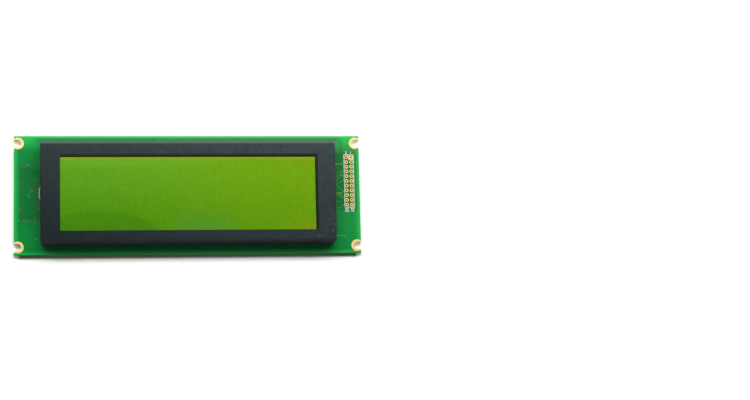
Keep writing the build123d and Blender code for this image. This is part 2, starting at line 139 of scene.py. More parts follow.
def faces_where(piece, test):
    """In edit mode with faces, selects those whose centre and normal pass the test."""
    take(piece)
    bpy.ops.object.mode_set(mode="EDIT")
    bpy.ops.mesh.select_mode(type="FACE")
    bpy.ops.mesh.select_all(action="DESELECT")
    shape = bmesh.from_edit_mesh(piece.data)
    for face in shape.faces:
        face.select = test(face.calc_center_median() / MM, face.normal)
    bmesh.update_edit_mesh(piece.data)


def ring(x, z, outer, inner, front, back, sides=24):
    """A flat ring or tube round a line along Y, from y = front to y = back."""
    bpy.ops.object.select_all(action="DESELECT")
    bpy.ops.mesh.primitive_cylinder_add(
        vertices=sides, radius=outer * MM, depth=(back - front) * MM,
        location=Vector((x, (front + back) / 2, z)) * MM, rotation=(math.radians(90), 0, 0))
    piece = settle(bpy.context.object, "ring")
    faces_where(piece, lambda centre, normal: abs(normal.y) > 0.9)
    bpy.ops.mesh.inset(thickness=(outer - inner) * MM, use_even_offset=True)
    bpy.ops.mesh.bridge_edge_loops()
    bpy.ops.object.mode_set(mode="OBJECT")
    smooth(piece)
    return piece


def copies(pattern, places, name):
    """One piece of copies of a pattern modelled at x = z = 0. A place is x, z and a turn in degrees."""
    made = []
    for x, z, turn in places:
        copy = pattern.copy()
        copy.data = pattern.data.copy()
        copy.data.transform(Matrix.Translation(Vector((x, 0, z)) * MM)
                            @ Matrix.Rotation(math.radians(turn), 4, "Y"))
        bpy.context.collection.objects.link(copy)
        made.append(copy)
    bpy.data.objects.remove(pattern)
    return join(made, name)


def runs(name, lines, width, side, height=FOIL):
    """Low ridges along lines of (x, z) points, on the front or the back face of the board."""
    curve = bpy.data.curves.new(name, "CURVE")
    curve.dimensions = "3D"
    curve.bevel_depth = width / 2 * MM
    curve.bevel_resolution = 0
    curve.use_fill_caps = True
    for line in lines:
        spline = curve.splines.new("POLY")
        spline.points.add(len(line) - 1)
        for point, (x, z) in zip(spline.points, line):
            point.co = (x * MM, 0, z * MM, 1)
    piece = bpy.data.objects.new(name, curve)
    bpy.context.collection.objects.link(piece)
    take(piece)
    bpy.ops.object.convert(target="MESH")
    piece = bpy.context.object
    face = 0 if side == FRONT else BOARD_BACK
    piece.data.transform(Matrix.Translation((0, face * MM, 0))
                         @ Matrix.Scale(2 * height / width, 4, (0, 1, 0)))
    return piece


def digits(name, words, size, side):
    """Plain numbers printed on the board. A word is its text, x and z of its middle and a turn."""
    made = []
    for text, x, z, turn in words:
        bpy.ops.object.select_all(action="DESELECT")
        bpy.ops.object.text_add()
        piece = bpy.context.object
        piece.data.body = text
        piece.data.size = size * MM
        piece.data.extrude = INK / 2 * MM
        piece.data.offset = 0.05 * MM if side == FRONT else 0.0
        piece.data.align_x = "CENTER"
        piece.data.align_y = "CENTER"
        bpy.ops.object.convert(target="MESH")
        piece = bpy.context.object
        facing = Matrix.Rotation(math.radians(90), 4, "X")
        if side == BACK:
            facing = Matrix.Rotation(math.radians(180), 4, "Z") @ facing
        face = -INK / 2 if side == FRONT else BOARD_BACK + INK / 2
        piece.data.transform(Matrix.Translation(Vector((x, face, z)) * MM)
                             @ Matrix.Rotation(math.radians(turn), 4, "Y") @ facing)
        made.append(piece)
    return join(made, name)


def solids(node):
    """The lowest and highest corner, in millimetres, of each separate solid of a CAD node."""
    shape = bmesh.new()
    shape.from_mesh(nodes[node].data)
    bmesh.ops.remove_doubles(shape, verts=shape.verts, dist=1e-6)
    waiting = set(shape.verts)
    boxes = []
    while waiting:
        island, edge = set(), [waiting.pop()]
        while edge:
            vertex = edge.pop()
            island.add(vertex)
            for link in vertex.link_edges:
                other = link.other_vert(vertex)
                if other in waiting:
                    waiting.discard(other)
                    edge.append(other)
        points = [vertex.co / MM for vertex in island]
        low = Vector([min(point[axis] for point in points) for axis in range(3)])
        high = Vector([max(point[axis] for point in points) for axis in range(3)])
        boxes.append((low, high))
    shape.free()
    return sorted(boxes, key=lambda box: (round(box[0].z, 2), round(box[0].x, 2)))


def is_upright(low, high):
    """Whether a part is longer along Z than along X."""
    return high.z - low.z > high.x - low.x


def finish_piece(piece, name):
    """Gives a new piece its finish and the body that it rides on."""
    piece.data.materials.clear()
    piece.data.materials.append(finish[name])
    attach(piece, "root")
    return piece


# Small tools for materials

def linear(red, green, blue):
    """A colour as it is seen on a screen, from 0 to 255, as the linear colour that the shader takes."""
    def one(value):
        share = value / 255
        return share / 12.92 if share <= 0.04045 else ((share + 0.055) / 1.055) ** 2.4
    return (one(red), one(green), one(blue), 1.0)


def add_node(tree, kind, values=None, **settings):
    """A node with its settings, and each value either set on a socket or linked to it."""
    made = tree.nodes.new(kind)
    for key, value in settings.items():
        setattr(made, key, value)
    for key, value in (values or {}).items():
        if isinstance(value, bpy.types.NodeSocket):
            tree.links.new(value, made.inputs[key])
        else:
            made.inputs[key].default_value = value
    return made


def math_node(tree, operation, first, second=0.0):
    return add_node(tree, "ShaderNodeMath", {0: first, 1: second}, operation=operation).outputs[0]


def times(tree, first, second):
    return math_node(tree, "MULTIPLY", first, second)


def vector_node(tree, operation, values):
    return add_node(tree, "ShaderNodeVectorMath", values, operation=operation)


def split(tree, vector):
    """The X, Y and Z part of a place or a direction."""
    return add_node(tree, "ShaderNodeSeparateXYZ", {0: vector}).outputs


def split_normal(tree):
    return split(tree, add_node(tree, "ShaderNodeNewGeometry").outputs["Normal"])


def split_place(tree, place):
    """The X, Y and Z part of a place, in millimetres."""
    return split(tree, vector_node(tree, "SCALE", {0: place, 3: 1 / MM}).outputs[0])


def blend_colours(tree, factor, first, second):
    """Two colours mixed by a factor."""
    return add_node(tree, "ShaderNodeMix", {0: factor, 6: first, 7: second}, data_type="RGBA").outputs[2]


def paint_over(tree, colour, layers):
    """A colour with other colours laid over it, each through its own mask."""
    for mask, layer in layers:
        colour = blend_colours(tree, mask, colour, layer)
    return colour


def ramp(tree, value, low, high, start=0.0, end=1.0, shape="SMOOTHSTEP"):
    """The value moved from the range low to high into the range start to end, and kept in it."""
    return add_node(tree, "ShaderNodeMapRange",
                    {"Value": value, "From Min": low, "From Max": high, "To Min": start, "To Max": end},
                    interpolation_type=shape).outputs[0]


def new_group(name, inputs, outputs):
    """An empty shader node group with named sockets: (tree, what it is given, what it puts out)."""
    tree = bpy.data.node_groups.new(name, "ShaderNodeTree")
    for socket, kind, default in inputs:
        made = tree.interface.new_socket(socket, in_out="INPUT", socket_type=kind)
        if default is not None:
            made.default_value = default
    for socket, kind in outputs:
        tree.interface.new_socket(socket, in_out="OUTPUT", socket_type=kind)
    return tree, tree.nodes.new("NodeGroupInput").outputs, tree.nodes.new("NodeGroupOutput").inputs


VECTOR, FLOAT, COLOUR = "NodeSocketVector", "NodeSocketFloat", "NodeSocketColor"


def group_grain():
    """A fine even grain: a height for the bump and a tone that lies round one."""
    tree, given, out = new_group(
        "grain", [("Place", VECTOR, None), ("Scale", FLOAT, 900.0), ("Tone", FLOAT, 0.1)],
        [("Height", FLOAT), ("Tone", FLOAT)])
    fine = add_node(tree, "ShaderNodeTexNoise",
                    {"Vector": given["Place"], "Scale": given["Scale"],
                     "Detail": 3.0, "Roughness": 0.6}).outputs[0]
    tree.links.new(fine, out["Height"])
    spread = times(tree, math_node(tree, "SUBTRACT", fine, 0.5), given["Tone"])
    tree.links.new(math_node(tree, "ADD", times(tree, spread, 2.0), 1.0), out["Tone"])
    return tree


def group_mottle():
    """Slow soft patches that mix a second colour into the first."""
    tree, given, out = new_group(
        "mottle", [("Place", VECTOR, None), ("Scale", FLOAT, 60.0), ("Amount", FLOAT, 0.3),
                   ("First", COLOUR, None), ("Second", COLOUR, None)],
        [("Colour", COLOUR)])
    patches = add_node(tree, "ShaderNodeTexNoise",
                       {"Vector": given["Place"], "Scale": given["Scale"], "Detail": 4.0})
    share = times(tree, ramp(tree, patches.outputs[0], 0.35, 0.68), given["Amount"])
    mixed = blend_colours(tree, share, given["First"], given["Second"])
    tree.links.new(mixed, out["Colour"])
    return tree


def group_dust():
    """Small sparse specks."""
    tree, given, out = new_group(
        "dust", [("Place", VECTOR, None), ("Scale", FLOAT, 350.0), ("Amount", FLOAT, 0.5)],
        [("Mask", FLOAT)])
    cells = add_node(tree, "ShaderNodeTexVoronoi",
                     {"Vector": given["Place"], "Scale": given["Scale"]})
    dots = ramp(tree, cells.outputs["Distance"], 0.16, 0.08)
    chosen = add_node(tree, "ShaderNodeSeparateColor", {0: cells.outputs["Color"]})
    few = math_node(tree, "GREATER_THAN", chosen.outputs[0], 0.93)
    tree.links.new(times(tree, times(tree, dots, few), given["Amount"]), out["Mask"])
    return tree


def group_field():
    """A soft rectangle in X and Z: one inside, nought outside."""
    tree, given, out = new_group(
        "field", [("Place", VECTOR, None), ("Centre", VECTOR, None), ("Half", VECTOR, None),
                  ("Softness", FLOAT, 0.001)],
        [("Mask", FLOAT)])
    offset = vector_node(tree, "SUBTRACT", {0: given["Place"], 1: given["Centre"]})
    size = vector_node(tree, "ABSOLUTE", {0: offset.outputs[0]})
    past = vector_node(tree, "SUBTRACT", {0: size.outputs[0], 1: given["Half"]})
    past_x, _, past_z = split(tree, past.outputs[0])
    furthest = math_node(tree, "MAXIMUM", past_x, past_z)
    tree.links.new(ramp(tree, furthest, given["Softness"], 0.0), out["Mask"])
    return tree


groups = {"grain": group_grain(), "mottle": group_mottle(), "dust": group_dust(), "field": group_field()}


def use_group(tree, name, values):
    return add_node(tree, "ShaderNodeGroup", values, node_tree=groups[name])


def field_mask(tree, place, x, z, half_x, half_z, softness):
    """The mask of a soft rectangle, its middle and its sizes in millimetres."""
    return use_group(tree, "field", {
        "Place": place, "Centre": (x * MM, 0, z * MM), "Half": (half_x * MM, 1, half_z * MM),
        "Softness": softness * MM}).outputs["Mask"]


def empty_tree(owner):
    """The node tree of a material or a world, with nothing in it."""
    owner.use_nodes = True
    owner.node_tree.nodes.clear()
    return owner.node_tree


def new_material(name, **sockets):
    """A material with its own shader: (material, tree, shader, place). Plain values go on the shader."""
    material = bpy.data.materials.new(name)
    tree = empty_tree(material)
    shader = tree.nodes.new("ShaderNodeBsdfPrincipled")
    out = tree.nodes.new("ShaderNodeOutputMaterial")
    tree.links.new(shader.outputs[0], out.inputs["Surface"])
    for key, value in sockets.items():
        shader.inputs[key.replace("_", " ")].default_value = value
    place = tree.nodes.new("ShaderNodeTexCoord").outputs["Object"]
    return material, tree, shader, place


def set_colour(tree, shader, colour):
    tree.links.new(colour, shader.inputs["Base Color"])


def add_bump(tree, shader, height, strength, distance):
    """Bump of this height, its distance in millimetres."""
    bump = add_node(tree, "ShaderNodeBump",
                    {"Height": height, "Strength": strength, "Distance": distance * MM})
    tree.links.new(bump.outputs[0], shader.inputs["Normal"])


def grained(tree, place, colour, scale, tone):
    """A colour with a fine grain in its tone, and the height of that grain for the bump."""
    grain = use_group(tree, "grain", {"Place": place, "Scale": scale, "Tone": tone}).outputs
    return vector_node(tree, "SCALE", {0: colour, 3: grain["Tone"]}).outputs[0], grain["Height"]


def mottled(tree, place, first, second, scale, amount):
    return use_group(tree, "mottle", {"Place": place, "Scale": scale, "Amount": amount,
                                      "First": first, "Second": second}).outputs["Colour"]


def vary_roughness(tree, shader, place, scale, low, high):
    """Roughness that drifts between two values."""
    noise = add_node(tree, "ShaderNodeTexNoise", {"Vector": place, "Scale": scale, "Detail": 3.0})
    tree.links.new(ramp(tree, noise.outputs[0], 0.3, 0.7, low, high), shader.inputs["Roughness"])


# Materials of the board

MASK_GREEN = linear(6, 142, 62)
# The next two colours are a painted sheen: the mask grows lighter and redder towards the right, less so low
# down
MASK_SHEEN_RIGHT = linear(56, 150, 78)
MASK_SHEEN_LOW_RIGHT = linear(18, 150, 66)
MASK_DEEP = linear(0, 110, 48)
# The next three colours are painted light: a glow along the edges, a greyer tint for the shade under the
# bezel, and a glow at the top rim
MASK_GLOW = linear(44, 202, 92)
MASK_SHADE_TINT = linear(36, 142, 74)
MASK_RIM_GLOW = linear(120, 240, 152)
LAMINATE = linear(104, 112, 66)
# Where the mask is painted lighter or greyer: a painted glow along the edges, at the top rim, in the upper
# corners and at the low edge, and a painted greyer shade under the bezel. Each has two distances from an
# edge of the board and grows from the first to the second
EDGE_GLOW = (3.2, 0.0)
RIM_GLOW = (1.3, 0.0)
CORNER_FROM_SIDE = (16, 7)
CORNER_FROM_TOP = (9, 1)
LOW_GLOW = (2.4, 0.0)
LOW_SHADE = (6, 4)
BEZEL_FROM_SIDE = (9, 22)
# How far inside its faces the board shows its laminate
MASK_DEPTH = 0.06
# Fields of another colour on each face: centre x, centre z, half width, half height, softness, colour
FRONT_FIELDS = ((-81.5, 0.5, 4.6, 13.5, 1.6, MASK_DEEP), (81.6, 7.0, 5.0, 14.5, 1.6, MASK_DEEP))
BACK_FIELDS = (
    (-10.0, 6.0, 58.0, 12.5, 6.0, linear(16, 92, 46)),
    (47.0, 12.0, 3.0, 9.5, 3.5, linear(62, 122, 70)),
    (-38.0, -12.0, 10.0, 2.5, 5.0, linear(66, 120, 70)),
    (6.6, -19.3, 59.6, 2.9, 0.7, linear(86, 132, 82)),
)


def board_mask():
    """Green solder mask over glass laminate. Its colour carries painted light: a painted glow along the
    board's outline, a painted sheen towards the right and a painted greyer shade under the bezel.
    """
    material, tree, shader, place = new_material("board_mask", Specular_IOR_Level=0.07)
    x, y, z = split_place(tree, place)
    # Painted sheen towards the right of the board
    right = blend_colours(tree, ramp(tree, z, board_low.z, board_high.z), MASK_SHEEN_LOW_RIGHT, MASK_SHEEN_RIGHT)
    colour = blend_colours(tree, ramp(tree, x, board_low.x, board_high.x), MASK_GREEN, right)
    colour = mottled(tree, place, colour, MASK_DEEP, 45.0, 0.25)
    front = math_node(tree, "LESS_THAN", y, 0.4)
    back = math_node(tree, "GREATER_THAN", y, BOARD_BACK - 0.4)
    layers = []
    for side, fields in ((front, FRONT_FIELDS), (back, BACK_FIELDS)):
        for *field, deeper in fields:
            layers.append((times(tree, times(tree, field_mask(tree, place, *field), side), 0.6), deeper))
    from_side = math_node(tree, "SUBTRACT", board_high.x, math_node(tree, "ABSOLUTE", x))
    from_top = math_node(tree, "SUBTRACT", board_high.z, z)
    from_low = math_node(tree, "SUBTRACT", z, board_low.z)
    # Painted glow along the outline, in the upper corners and at the low edge
    glow = ramp(tree, math_node(tree, "MINIMUM", from_side, from_top), *EDGE_GLOW, 0.0, 0.68)
    corners = times(tree, ramp(tree, from_side, *CORNER_FROM_SIDE, 0.0, 0.8),
                    ramp(tree, from_top, *CORNER_FROM_TOP))
    low = times(tree, ramp(tree, from_low, *LOW_GLOW), ramp(tree, from_side, *BEZEL_FROM_SIDE, 0.55, 0.9))
    glow = math_node(tree, "MAXIMUM", math_node(tree, "MAXIMUM", glow, corners), low)
    # Painted greyer shade under the bezel
    shaded = times(tree, ramp(tree, from_low, *LOW_SHADE), ramp(tree, from_side, *BEZEL_FROM_SIDE))
    # Painted glow at the top rim
    rim = ramp(tree, from_top, *RIM_GLOW, 0.0, 0.55)
    inside = times(tree, math_node(tree, "GREATER_THAN", y, MASK_DEPTH),
                   math_node(tree, "LESS_THAN", y, BOARD_BACK - MASK_DEPTH))
    stretched = add_node(tree, "ShaderNodeMapping", {0: place, "Scale": (60, 3500, 60)}).outputs[0]
    plies = add_node(tree, "ShaderNodeTexNoise", {"Vector": stretched, "Scale": 1.0, "Detail": 2.0})
    laminate = blend_colours(tree, plies.outputs[0], LAMINATE, MASK_GREEN)
    layers += [(shaded, MASK_SHADE_TINT), (glow, MASK_GLOW), (rim, MASK_RIM_GLOW),
               (times(tree, inside, 0.75), laminate)]
    colour, height = grained(tree, place, paint_over(tree, colour, layers), 1300.0, 0.09)
    set_colour(tree, shader, colour)
    vary_roughness(tree, shader, place, 120.0, 0.26, 0.4)
    add_bump(tree, shader, math_node(tree, "ADD", weave_height(tree, place), height), 0.25, 0.01)
    return material


def weave_height(tree, place):
    """The faint cross weave of the glass cloth under the mask."""
    values = {"Vector": place, "Scale": 330.0, "Distortion": 1.2, "Detail": 1.0, "Detail Scale": 0.6}
    along_x, along_z = (add_node(tree, "ShaderNodeTexWave", values, bands_direction=axis).outputs["Fac"]
                        for axis in ("X", "Z"))
    return times(tree, along_x, along_z)


def copper_under_mask(name, light, dark):
    """Traces that show through the mask."""
    material, tree, shader, place = new_material(name, Specular_IOR_Level=0.35)
    colour = mottled(tree, place, linear(*light), linear(*dark), 260.0, 0.6)
    set_colour(tree, shader, colour)
    vary_roughness(tree, shader, place, 300.0, 0.25, 0.45)
    return material


def gold_plating(name, walls):
    """Soft gold over copper, a little worn. The walls of holes and notches are painted darker, as painted
    shade inside them.
    """
    material, tree, shader, place = new_material(name, Metallic=0.3)
    colour = mottled(tree, place, linear(250, 217, 136), linear(240, 196, 112), 500.0, 0.4)
    colour, height = grained(tree, place, colour, 5200.0, 0.05)
    # Painted shade on the walls of holes and notches, whose faces turn away from Y
    wall_shade = ramp(tree, math_node(tree, "ABSOLUTE", split_normal(tree)[1]), 0.7, 0.3)
    set_colour(tree, shader, blend_colours(tree, wall_shade, colour, linear(*walls)))
    vary_roughness(tree, shader, place, 700.0, 0.34, 0.46)
    add_bump(tree, shader, height, 0.15, 0.01)
    return material


def ink():
    """White printing ink, slightly uneven."""
    material, tree, shader, place = new_material("white_ink", Specular_IOR_Level=0.3)
    colour = mottled(tree, place, linear(252, 255, 254), linear(225, 240, 230), 1500.0, 0.5)
    set_colour(tree, shader, colour)
    vary_roughness(tree, shader, place, 900.0, 0.5, 0.7)
    return material


# Materials of the bezel and the display

# Small marks of wear on the bezel's face: centre x, centre z, half width, half height
WEAR = ((73.1, -10.3, 0.05, 0.4), (73.7, -11.6, 0.03, 0.2), (72.6, -14.8, 0.15, 0.05),
        (75.1, -17.8, 0.02, 0.9), (74.4, -20.9, 0.05, 0.4), (70.4, -20.6, 0.1, 0.1),
        (67.6, -23.7, 0.7, 0.03), (66.3, -23.9, 0.2, 0.05))


def bezel_paint():
    """Satin black paint on steel, with a fine mottled grain, a little dust and a few marks of wear. Its
    colour also carries painted light: a sheen towards the upper right, a highlight on the top fold, shade
    along the low edge and the window's lip, and a lighter underside.
    """
    material, tree, shader, place = new_material("bezel_paint", Specular_IOR_Level=0.25)
    x, _, z = split_place(tree, place)
    # Painted sheen: the paint is lighter towards the upper right
    share = math_node(tree, "ADD", ramp(tree, x, bezel_low.x, bezel_high.x, 0.0, 0.6, "LINEAR"),
                      ramp(tree, z, bezel_low.z, bezel_high.z, 0.0, 0.4, "LINEAR"))
    darker = blend_colours(tree, share, linear(4, 17, 21), linear(38, 51, 54))
    lighter = blend_colours(tree, share, linear(10, 24, 28), linear(46, 60, 63))
    colour = paint_over(tree, mottled(tree, place, lighter, darker, 420.0, 0.8), [
        # A painted highlight along the top fold, painted shade along the low edge and along the window's
        # lip
        (ramp(tree, z, bezel_high.z - 1.7, bezel_high.z - 0.6, 0.0, 0.85), linear(82, 92, 98)),
        (ramp(tree, z, bezel_low.z + 1.6, bezel_low.z + 0.2, 0.0, 0.6), linear(16, 20, 24)),
        (times(tree, window_lip(tree, place), 0.9), linear(8, 8, 6))])
    colour, height = grained(tree, place, colour, 1200.0, 0.38)
    dust = use_group(tree, "dust", {"Place": place, "Scale": 420.0, "Amount": 0.2}).outputs["Mask"]
    # The underside is painted lighter and bluer, for light from below
    painted_lit_underside = ramp(tree, split_normal(tree)[2], -0.15, -0.7)
    marks = [(times(tree, field_mask(tree, place, *mark, 0.3), 0.45), linear(124, 110, 98))
             for mark in WEAR]
    colour = paint_over(tree, colour, [
        (dust, linear(120, 126, 124)), *marks, (painted_lit_underside, linear(38, 38, 45))])
    set_colour(tree, shader, colour)
    noise = add_node(tree, "ShaderNodeTexNoise", {"Vector": place, "Scale": 500.0, "Detail": 3.0})
    rough = math_node(tree, "ADD", ramp(tree, noise.outputs[0], 0.3, 0.7, 0.3, 0.33),
                      times(tree, painted_lit_underside, 0.4))
    tree.links.new(rough, shader.inputs["Roughness"])
    add_bump(tree, shader, height, 0.12, 0.01)
    return material


def window_lip(tree, place):
    """The painted shade of the window's rim along its upper edge and its right edge."""
    (x, z), (half_x, half_z), (right, top) = WINDOW_CENTRE, WINDOW_HALF, LIP_SHADE
    return field_mask(tree, place, x + (right + 0.2) / 2, z + (top + 0.2) / 2,
                      half_x + (right - 0.2) / 2, half_z + (top - 0.2) / 2, 0.15)


# The window's middle and half size, and the width of the painted shade on its rim at the right and at the
# top
WINDOW_CENTRE = (0.0, -0.83)
WINDOW_HALF = (66.2, 19.5)
LIP_SHADE = (0.75, 0.95)
# Painted light: the film's colours are lighter at the top than in the colours for low down
FILM_LEFT = linear(94, 161, 25)
FILM_RIGHT = linear(112, 164, 0)
FILM_LOW_LEFT = linear(74, 142, 0)
FILM_LOW_RIGHT = linear(100, 154, 0)
FILM_CORNER = linear(126, 154, 6)
FILM_DOME_SHADE = linear(62, 128, 0)
FILM_UPMOST = linear(130, 166, 14)
FILM_TEAL_LIGHT = linear(58, 148, 58)
FILM_SHEEN = linear(120, 186, 44)
FILM_BETWEEN = linear(120, 175, 60)
FILM_GAP_SHADOW = linear(14, 20, 10)
DOT_PITCH = 0.53
# A darker, dome-shaped patch of painted shade at the lower left of the film, its middle and its radii along
# X and Z
DOME_SHADE_MIDDLE = (-45.5, 0, -24)
DOME_SHADE_SIZE = (30, 0, 13.7)
# A painted bluish smear of light near the lower edge: centre x, centre z, half width, half height, softness
SMEAR_OF_LIGHT = (8, -19, 8, 0, 12)
# The shaded gap between the bezel and the film, seen at the window's upper edge and at its right edge
FILM_GAP = 0.7


def display_film():
    """The display's satin film over the yellow-green cell, with the faint raster of its dots. Its colour
    also carries painted light: lighter at the top, a painted sheen near the top left, a dome of painted
    shade at the lower left, a painted bluish smear of light, and painted shadow in the gap under the bezel.
    """
    material, tree, shader, place = new_material("display_film", Roughness=0.4, Specular_IOR_Level=0.05)
    x, _, z = split_place(tree, place)
    across = ramp(tree, x, -66, 66)
    upper = blend_colours(tree, across, FILM_LEFT, FILM_RIGHT)
    lower = blend_colours(tree, across, FILM_LOW_LEFT, FILM_LOW_RIGHT)
    from_x = math_node(tree, "SUBTRACT", x, WINDOW_CENTRE[0])
    from_z = math_node(tree, "ABSOLUTE", math_node(tree, "SUBTRACT", z, WINDOW_CENTRE[1]))
    corner = times(tree, times(tree, ramp(tree, from_x, 40, 68), ramp(tree, from_z, 8, 20)), 0.7)
    from_dome_shade = vector_node(tree, "SUBTRACT", {0: place, 1: Vector(DOME_SHADE_MIDDLE) * MM}).outputs[0]
    shares = [size and 1 / (size * MM) for size in DOME_SHADE_SIZE]
    scaled = vector_node(tree, "MULTIPLY", {0: from_dome_shade, 1: shares}).outputs[0]
    reach = vector_node(tree, "LENGTH", {0: scaled}).outputs["Value"]
    smear_of_light = times(tree, field_mask(tree, place, *SMEAR_OF_LIGHT), 0.3)
    sheen = times(tree, ramp(tree, z, 11.6, 14.2), ramp(tree, x, 34, -30, 0.0, 0.22))
    # Painted light: lighter at the top than low down
    colour = paint_over(tree, blend_colours(tree, ramp(tree, z, 16, -19), upper, lower), [
        (corner, FILM_CORNER), (ramp(tree, reach, 1.12, 0.86, 0.0, 0.55), FILM_DOME_SHADE), (smear_of_light, FILM_TEAL_LIGHT),
        (sheen, FILM_SHEEN), (ramp(tree, z, 15.9, 17.3, 0.0, 0.9), FILM_UPMOST)])
    colour, height = grained(tree, place, colour, 1000.0, 0.26)
    gaps = math_node(tree, "MAXIMUM", dot_gaps(tree, x), dot_gaps(tree, z))
    # Painted shadow in the gap under the bezel, at the film's right and upper edges
    right_end, top_end = (WINDOW_CENTRE[axis] + WINDOW_HALF[axis] - FILM_GAP for axis in (0, 1))
    at_right = ramp(tree, x, right_end - 0.2, right_end + 0.2)
    at_top = ramp(tree, z, top_end - 0.2, top_end + 0.2)
    border = times(tree, math_node(tree, "MAXIMUM", at_right, at_top), 0.95)
    colour = paint_over(tree, colour, [(times(tree, gaps, 0.06), FILM_BETWEEN), (border, FILM_GAP_SHADOW)])
    set_colour(tree, shader, colour)
    add_bump(tree, shader, height, 0.2, 0.004)
    return material


def dot_gaps(tree, along):
    """The thin gaps between the display's dots."""
    share = math_node(tree, "FRACT", math_node(tree, "DIVIDE", along, DOT_PITCH))
    return math_node(tree, "GREATER_THAN", share, 0.9)


def glass(name, colour):
    """Clear glass, seen only at its edges."""
    material, tree, shader, place = new_material(name, Transmission_Weight=1.0, IOR=1.5, Roughness=0.02)
    colour = mottled(tree, place, linear(*colour), linear(225, 240, 225), 90.0, 0.3)
    set_colour(tree, shader, colour)
    return material


# Materials of the parts

def plain_finish(name, first, second, scale, amount, low, high, grain_scale=2500.0, bump=0.2, **sockets):
    """A finish of two close colours with a fine grain."""
    material, tree, shader, place = new_material(name, **sockets)
    colour = mottled(tree, place, linear(*first), linear(*second), scale, amount)
    colour, height = grained(tree, place, colour, grain_scale, 0.1)
    set_colour(tree, shader, colour)
    vary_roughness(tree, shader, place, scale * 2, low, high)
    add_bump(tree, shader, height, bump, 0.01)
    return material


# What each finish is called in the other functions, and what it is made of
finish = {
    "board": board_mask(),
    "trace": copper_under_mask("trace_copper", (70, 122, 72), (52, 104, 58)),
    "border trace": copper_under_mask("border_copper", (74, 120, 62), (56, 104, 52)),
    "pale trace": copper_under_mask("pale_trace_copper", (112, 178, 96), (88, 150, 76)),
    "pour": copper_under_mask("pour_copper", (66, 122, 62), (48, 104, 52)),
    "bus": copper_under_mask("bus_copper", (124, 164, 108), (92, 136, 84)),
    # The second colour of each plating is painted shade for the walls of its holes and notches
    "gold": gold_plating("gold_plating", (30, 16, 8)),
    "gold land": gold_plating("gold_land", (176, 150, 110)),
    "ink": ink(),
    "paint": bezel_paint(),
    "film": display_film(),
    "glass": glass("display_glass", (200, 225, 190)),
    "via": plain_finish("via_ring", (150, 120, 66), (108, 100, 50), 900.0, 0.6, 0.35, 0.5, Metallic=0.35),
    "tin": plain_finish("tinned_metal", (214, 210, 205), (165, 160, 150), 700.0, 0.7, 0.28, 0.45,
                        Metallic=0.55),
    "solder": plain_finish("solder", (222, 219, 214), (180, 176, 170), 500.0, 0.6, 0.2, 0.38, bump=0.4,
                           Metallic=0.6),
    "epoxy": plain_finish("moulded_epoxy", (58, 58, 63), (48, 48, 53), 500.0, 0.6, 0.5, 0.66, 4200.0, 0.45,
                          Specular_IOR_Level=0.4),
    "drop": plain_finish("epoxy_drop", (30, 31, 34), (26, 27, 30), 260.0, 0.6, 0.34, 0.42, 2600.0, 0.08,
                         Specular_IOR_Level=0.4),
    "tantalum": plain_finish("tantalum_case", (236, 158, 48), (224, 138, 36), 700.0, 0.6, 0.42, 0.55),
    "stripe": plain_finish("tantalum_stripe", (196, 92, 30), (176, 78, 26), 900.0, 0.5, 0.45, 0.6),
    "resistor": plain_finish("resistor_glaze", (36, 36, 42), (26, 26, 30), 900.0, 0.5, 0.3, 0.45),
    "capacitor": plain_finish("capacitor_body", (168, 140, 108), (146, 118, 88), 900.0, 0.6, 0.5, 0.65),
    "diode": plain_finish("diode_glass", (232, 86, 36), (196, 60, 26), 900.0, 0.5, 0.12, 0.25,
                          Coat_Weight=0.5),
    "paper": plain_finish("label_paper", (226, 226, 230), (208, 208, 214), 120.0, 0.8, 0.55, 0.7,
                          1400.0, 0.35),
    "white": plain_finish("white_plastic", (232, 232, 226), (220, 220, 212), 300.0, 0.5, 0.45, 0.6),
    "rubber": plain_finish("contact_rubber", (88, 88, 92), (60, 60, 64), 1200.0, 0.6, 0.6, 0.75),
    "silicon": plain_finish("silicon", (110, 112, 124), (90, 92, 108), 900.0, 0.5, 0.1, 0.2, Metallic=0.4),
    "emitter": plain_finish("light_emitter", (205, 220, 90), (190, 205, 80), 900.0, 0.4, 0.15, 0.3),
}

# Which CAD nodes wear which finish
NODE_FINISHES = {
    "board": ("main_board", "backlight_board"),
    "gold land": ("corner_lands", "slot_lands", "jumper_pads"),
    "paint": ("bezel",),
    "film": ("front_polarizer", "rear_polarizer"),
    "glass": ("front_glass", "rear_glass", "liquid_crystal"),
    "white": ("cell_seal", "backlight_housing", "backlight_diffuser"),
    "rubber": ("zebra_strip_upper", "zebra_strip_lower"),
    "emitter": ("backlight_leds",),
    "solder": ("backlight_solder", "bezel_solder_tack"),
    "tin": ("backlight_pins", "controller_leads", "memory_leads", "op_amp_leads", "converter_leads",
            "transistor_leads", "resonator_feet", "tantalum_terminals", "diode_caps"),
    "epoxy": ("controller_chip", "memory_chip", "op_amp_chip", "converter_chips", "transistor",
              "resonator"),
    "drop": ("driver_globs",),
    "silicon": ("driver_dies",),
    "tantalum": ("tantalum_capacitors_small", "tantalum_capacitors_large"),
    "resistor": ("chip_resistors",),
    "capacitor": ("chip_capacitors",),
    "diode": ("glass_diodes",),
    "paper": ("label_left", "label_right"),
}


def dress_nodes():
    """Each CAD node gets its finish."""
    for name, members in NODE_FINISHES.items():
        for member in members:
            data = nodes[member].data
            data.materials.clear()
            data.materials.append(finish[name])


# Pieces on the board's front face

HEADER_COLUMNS = (85.8, 83.26)
HEADER_TOP = 19.7
HEADER_PITCH = 2.54
HEADER_ROWS = 11
PAD_RADIUS = 0.93
BORE_RADIUS = 0.475
PAD_EDGE = 0.05
HEADER_END = HEADER_TOP - (HEADER_ROWS - 1) * HEADER_PITCH
FIRST_PAD = 1.9
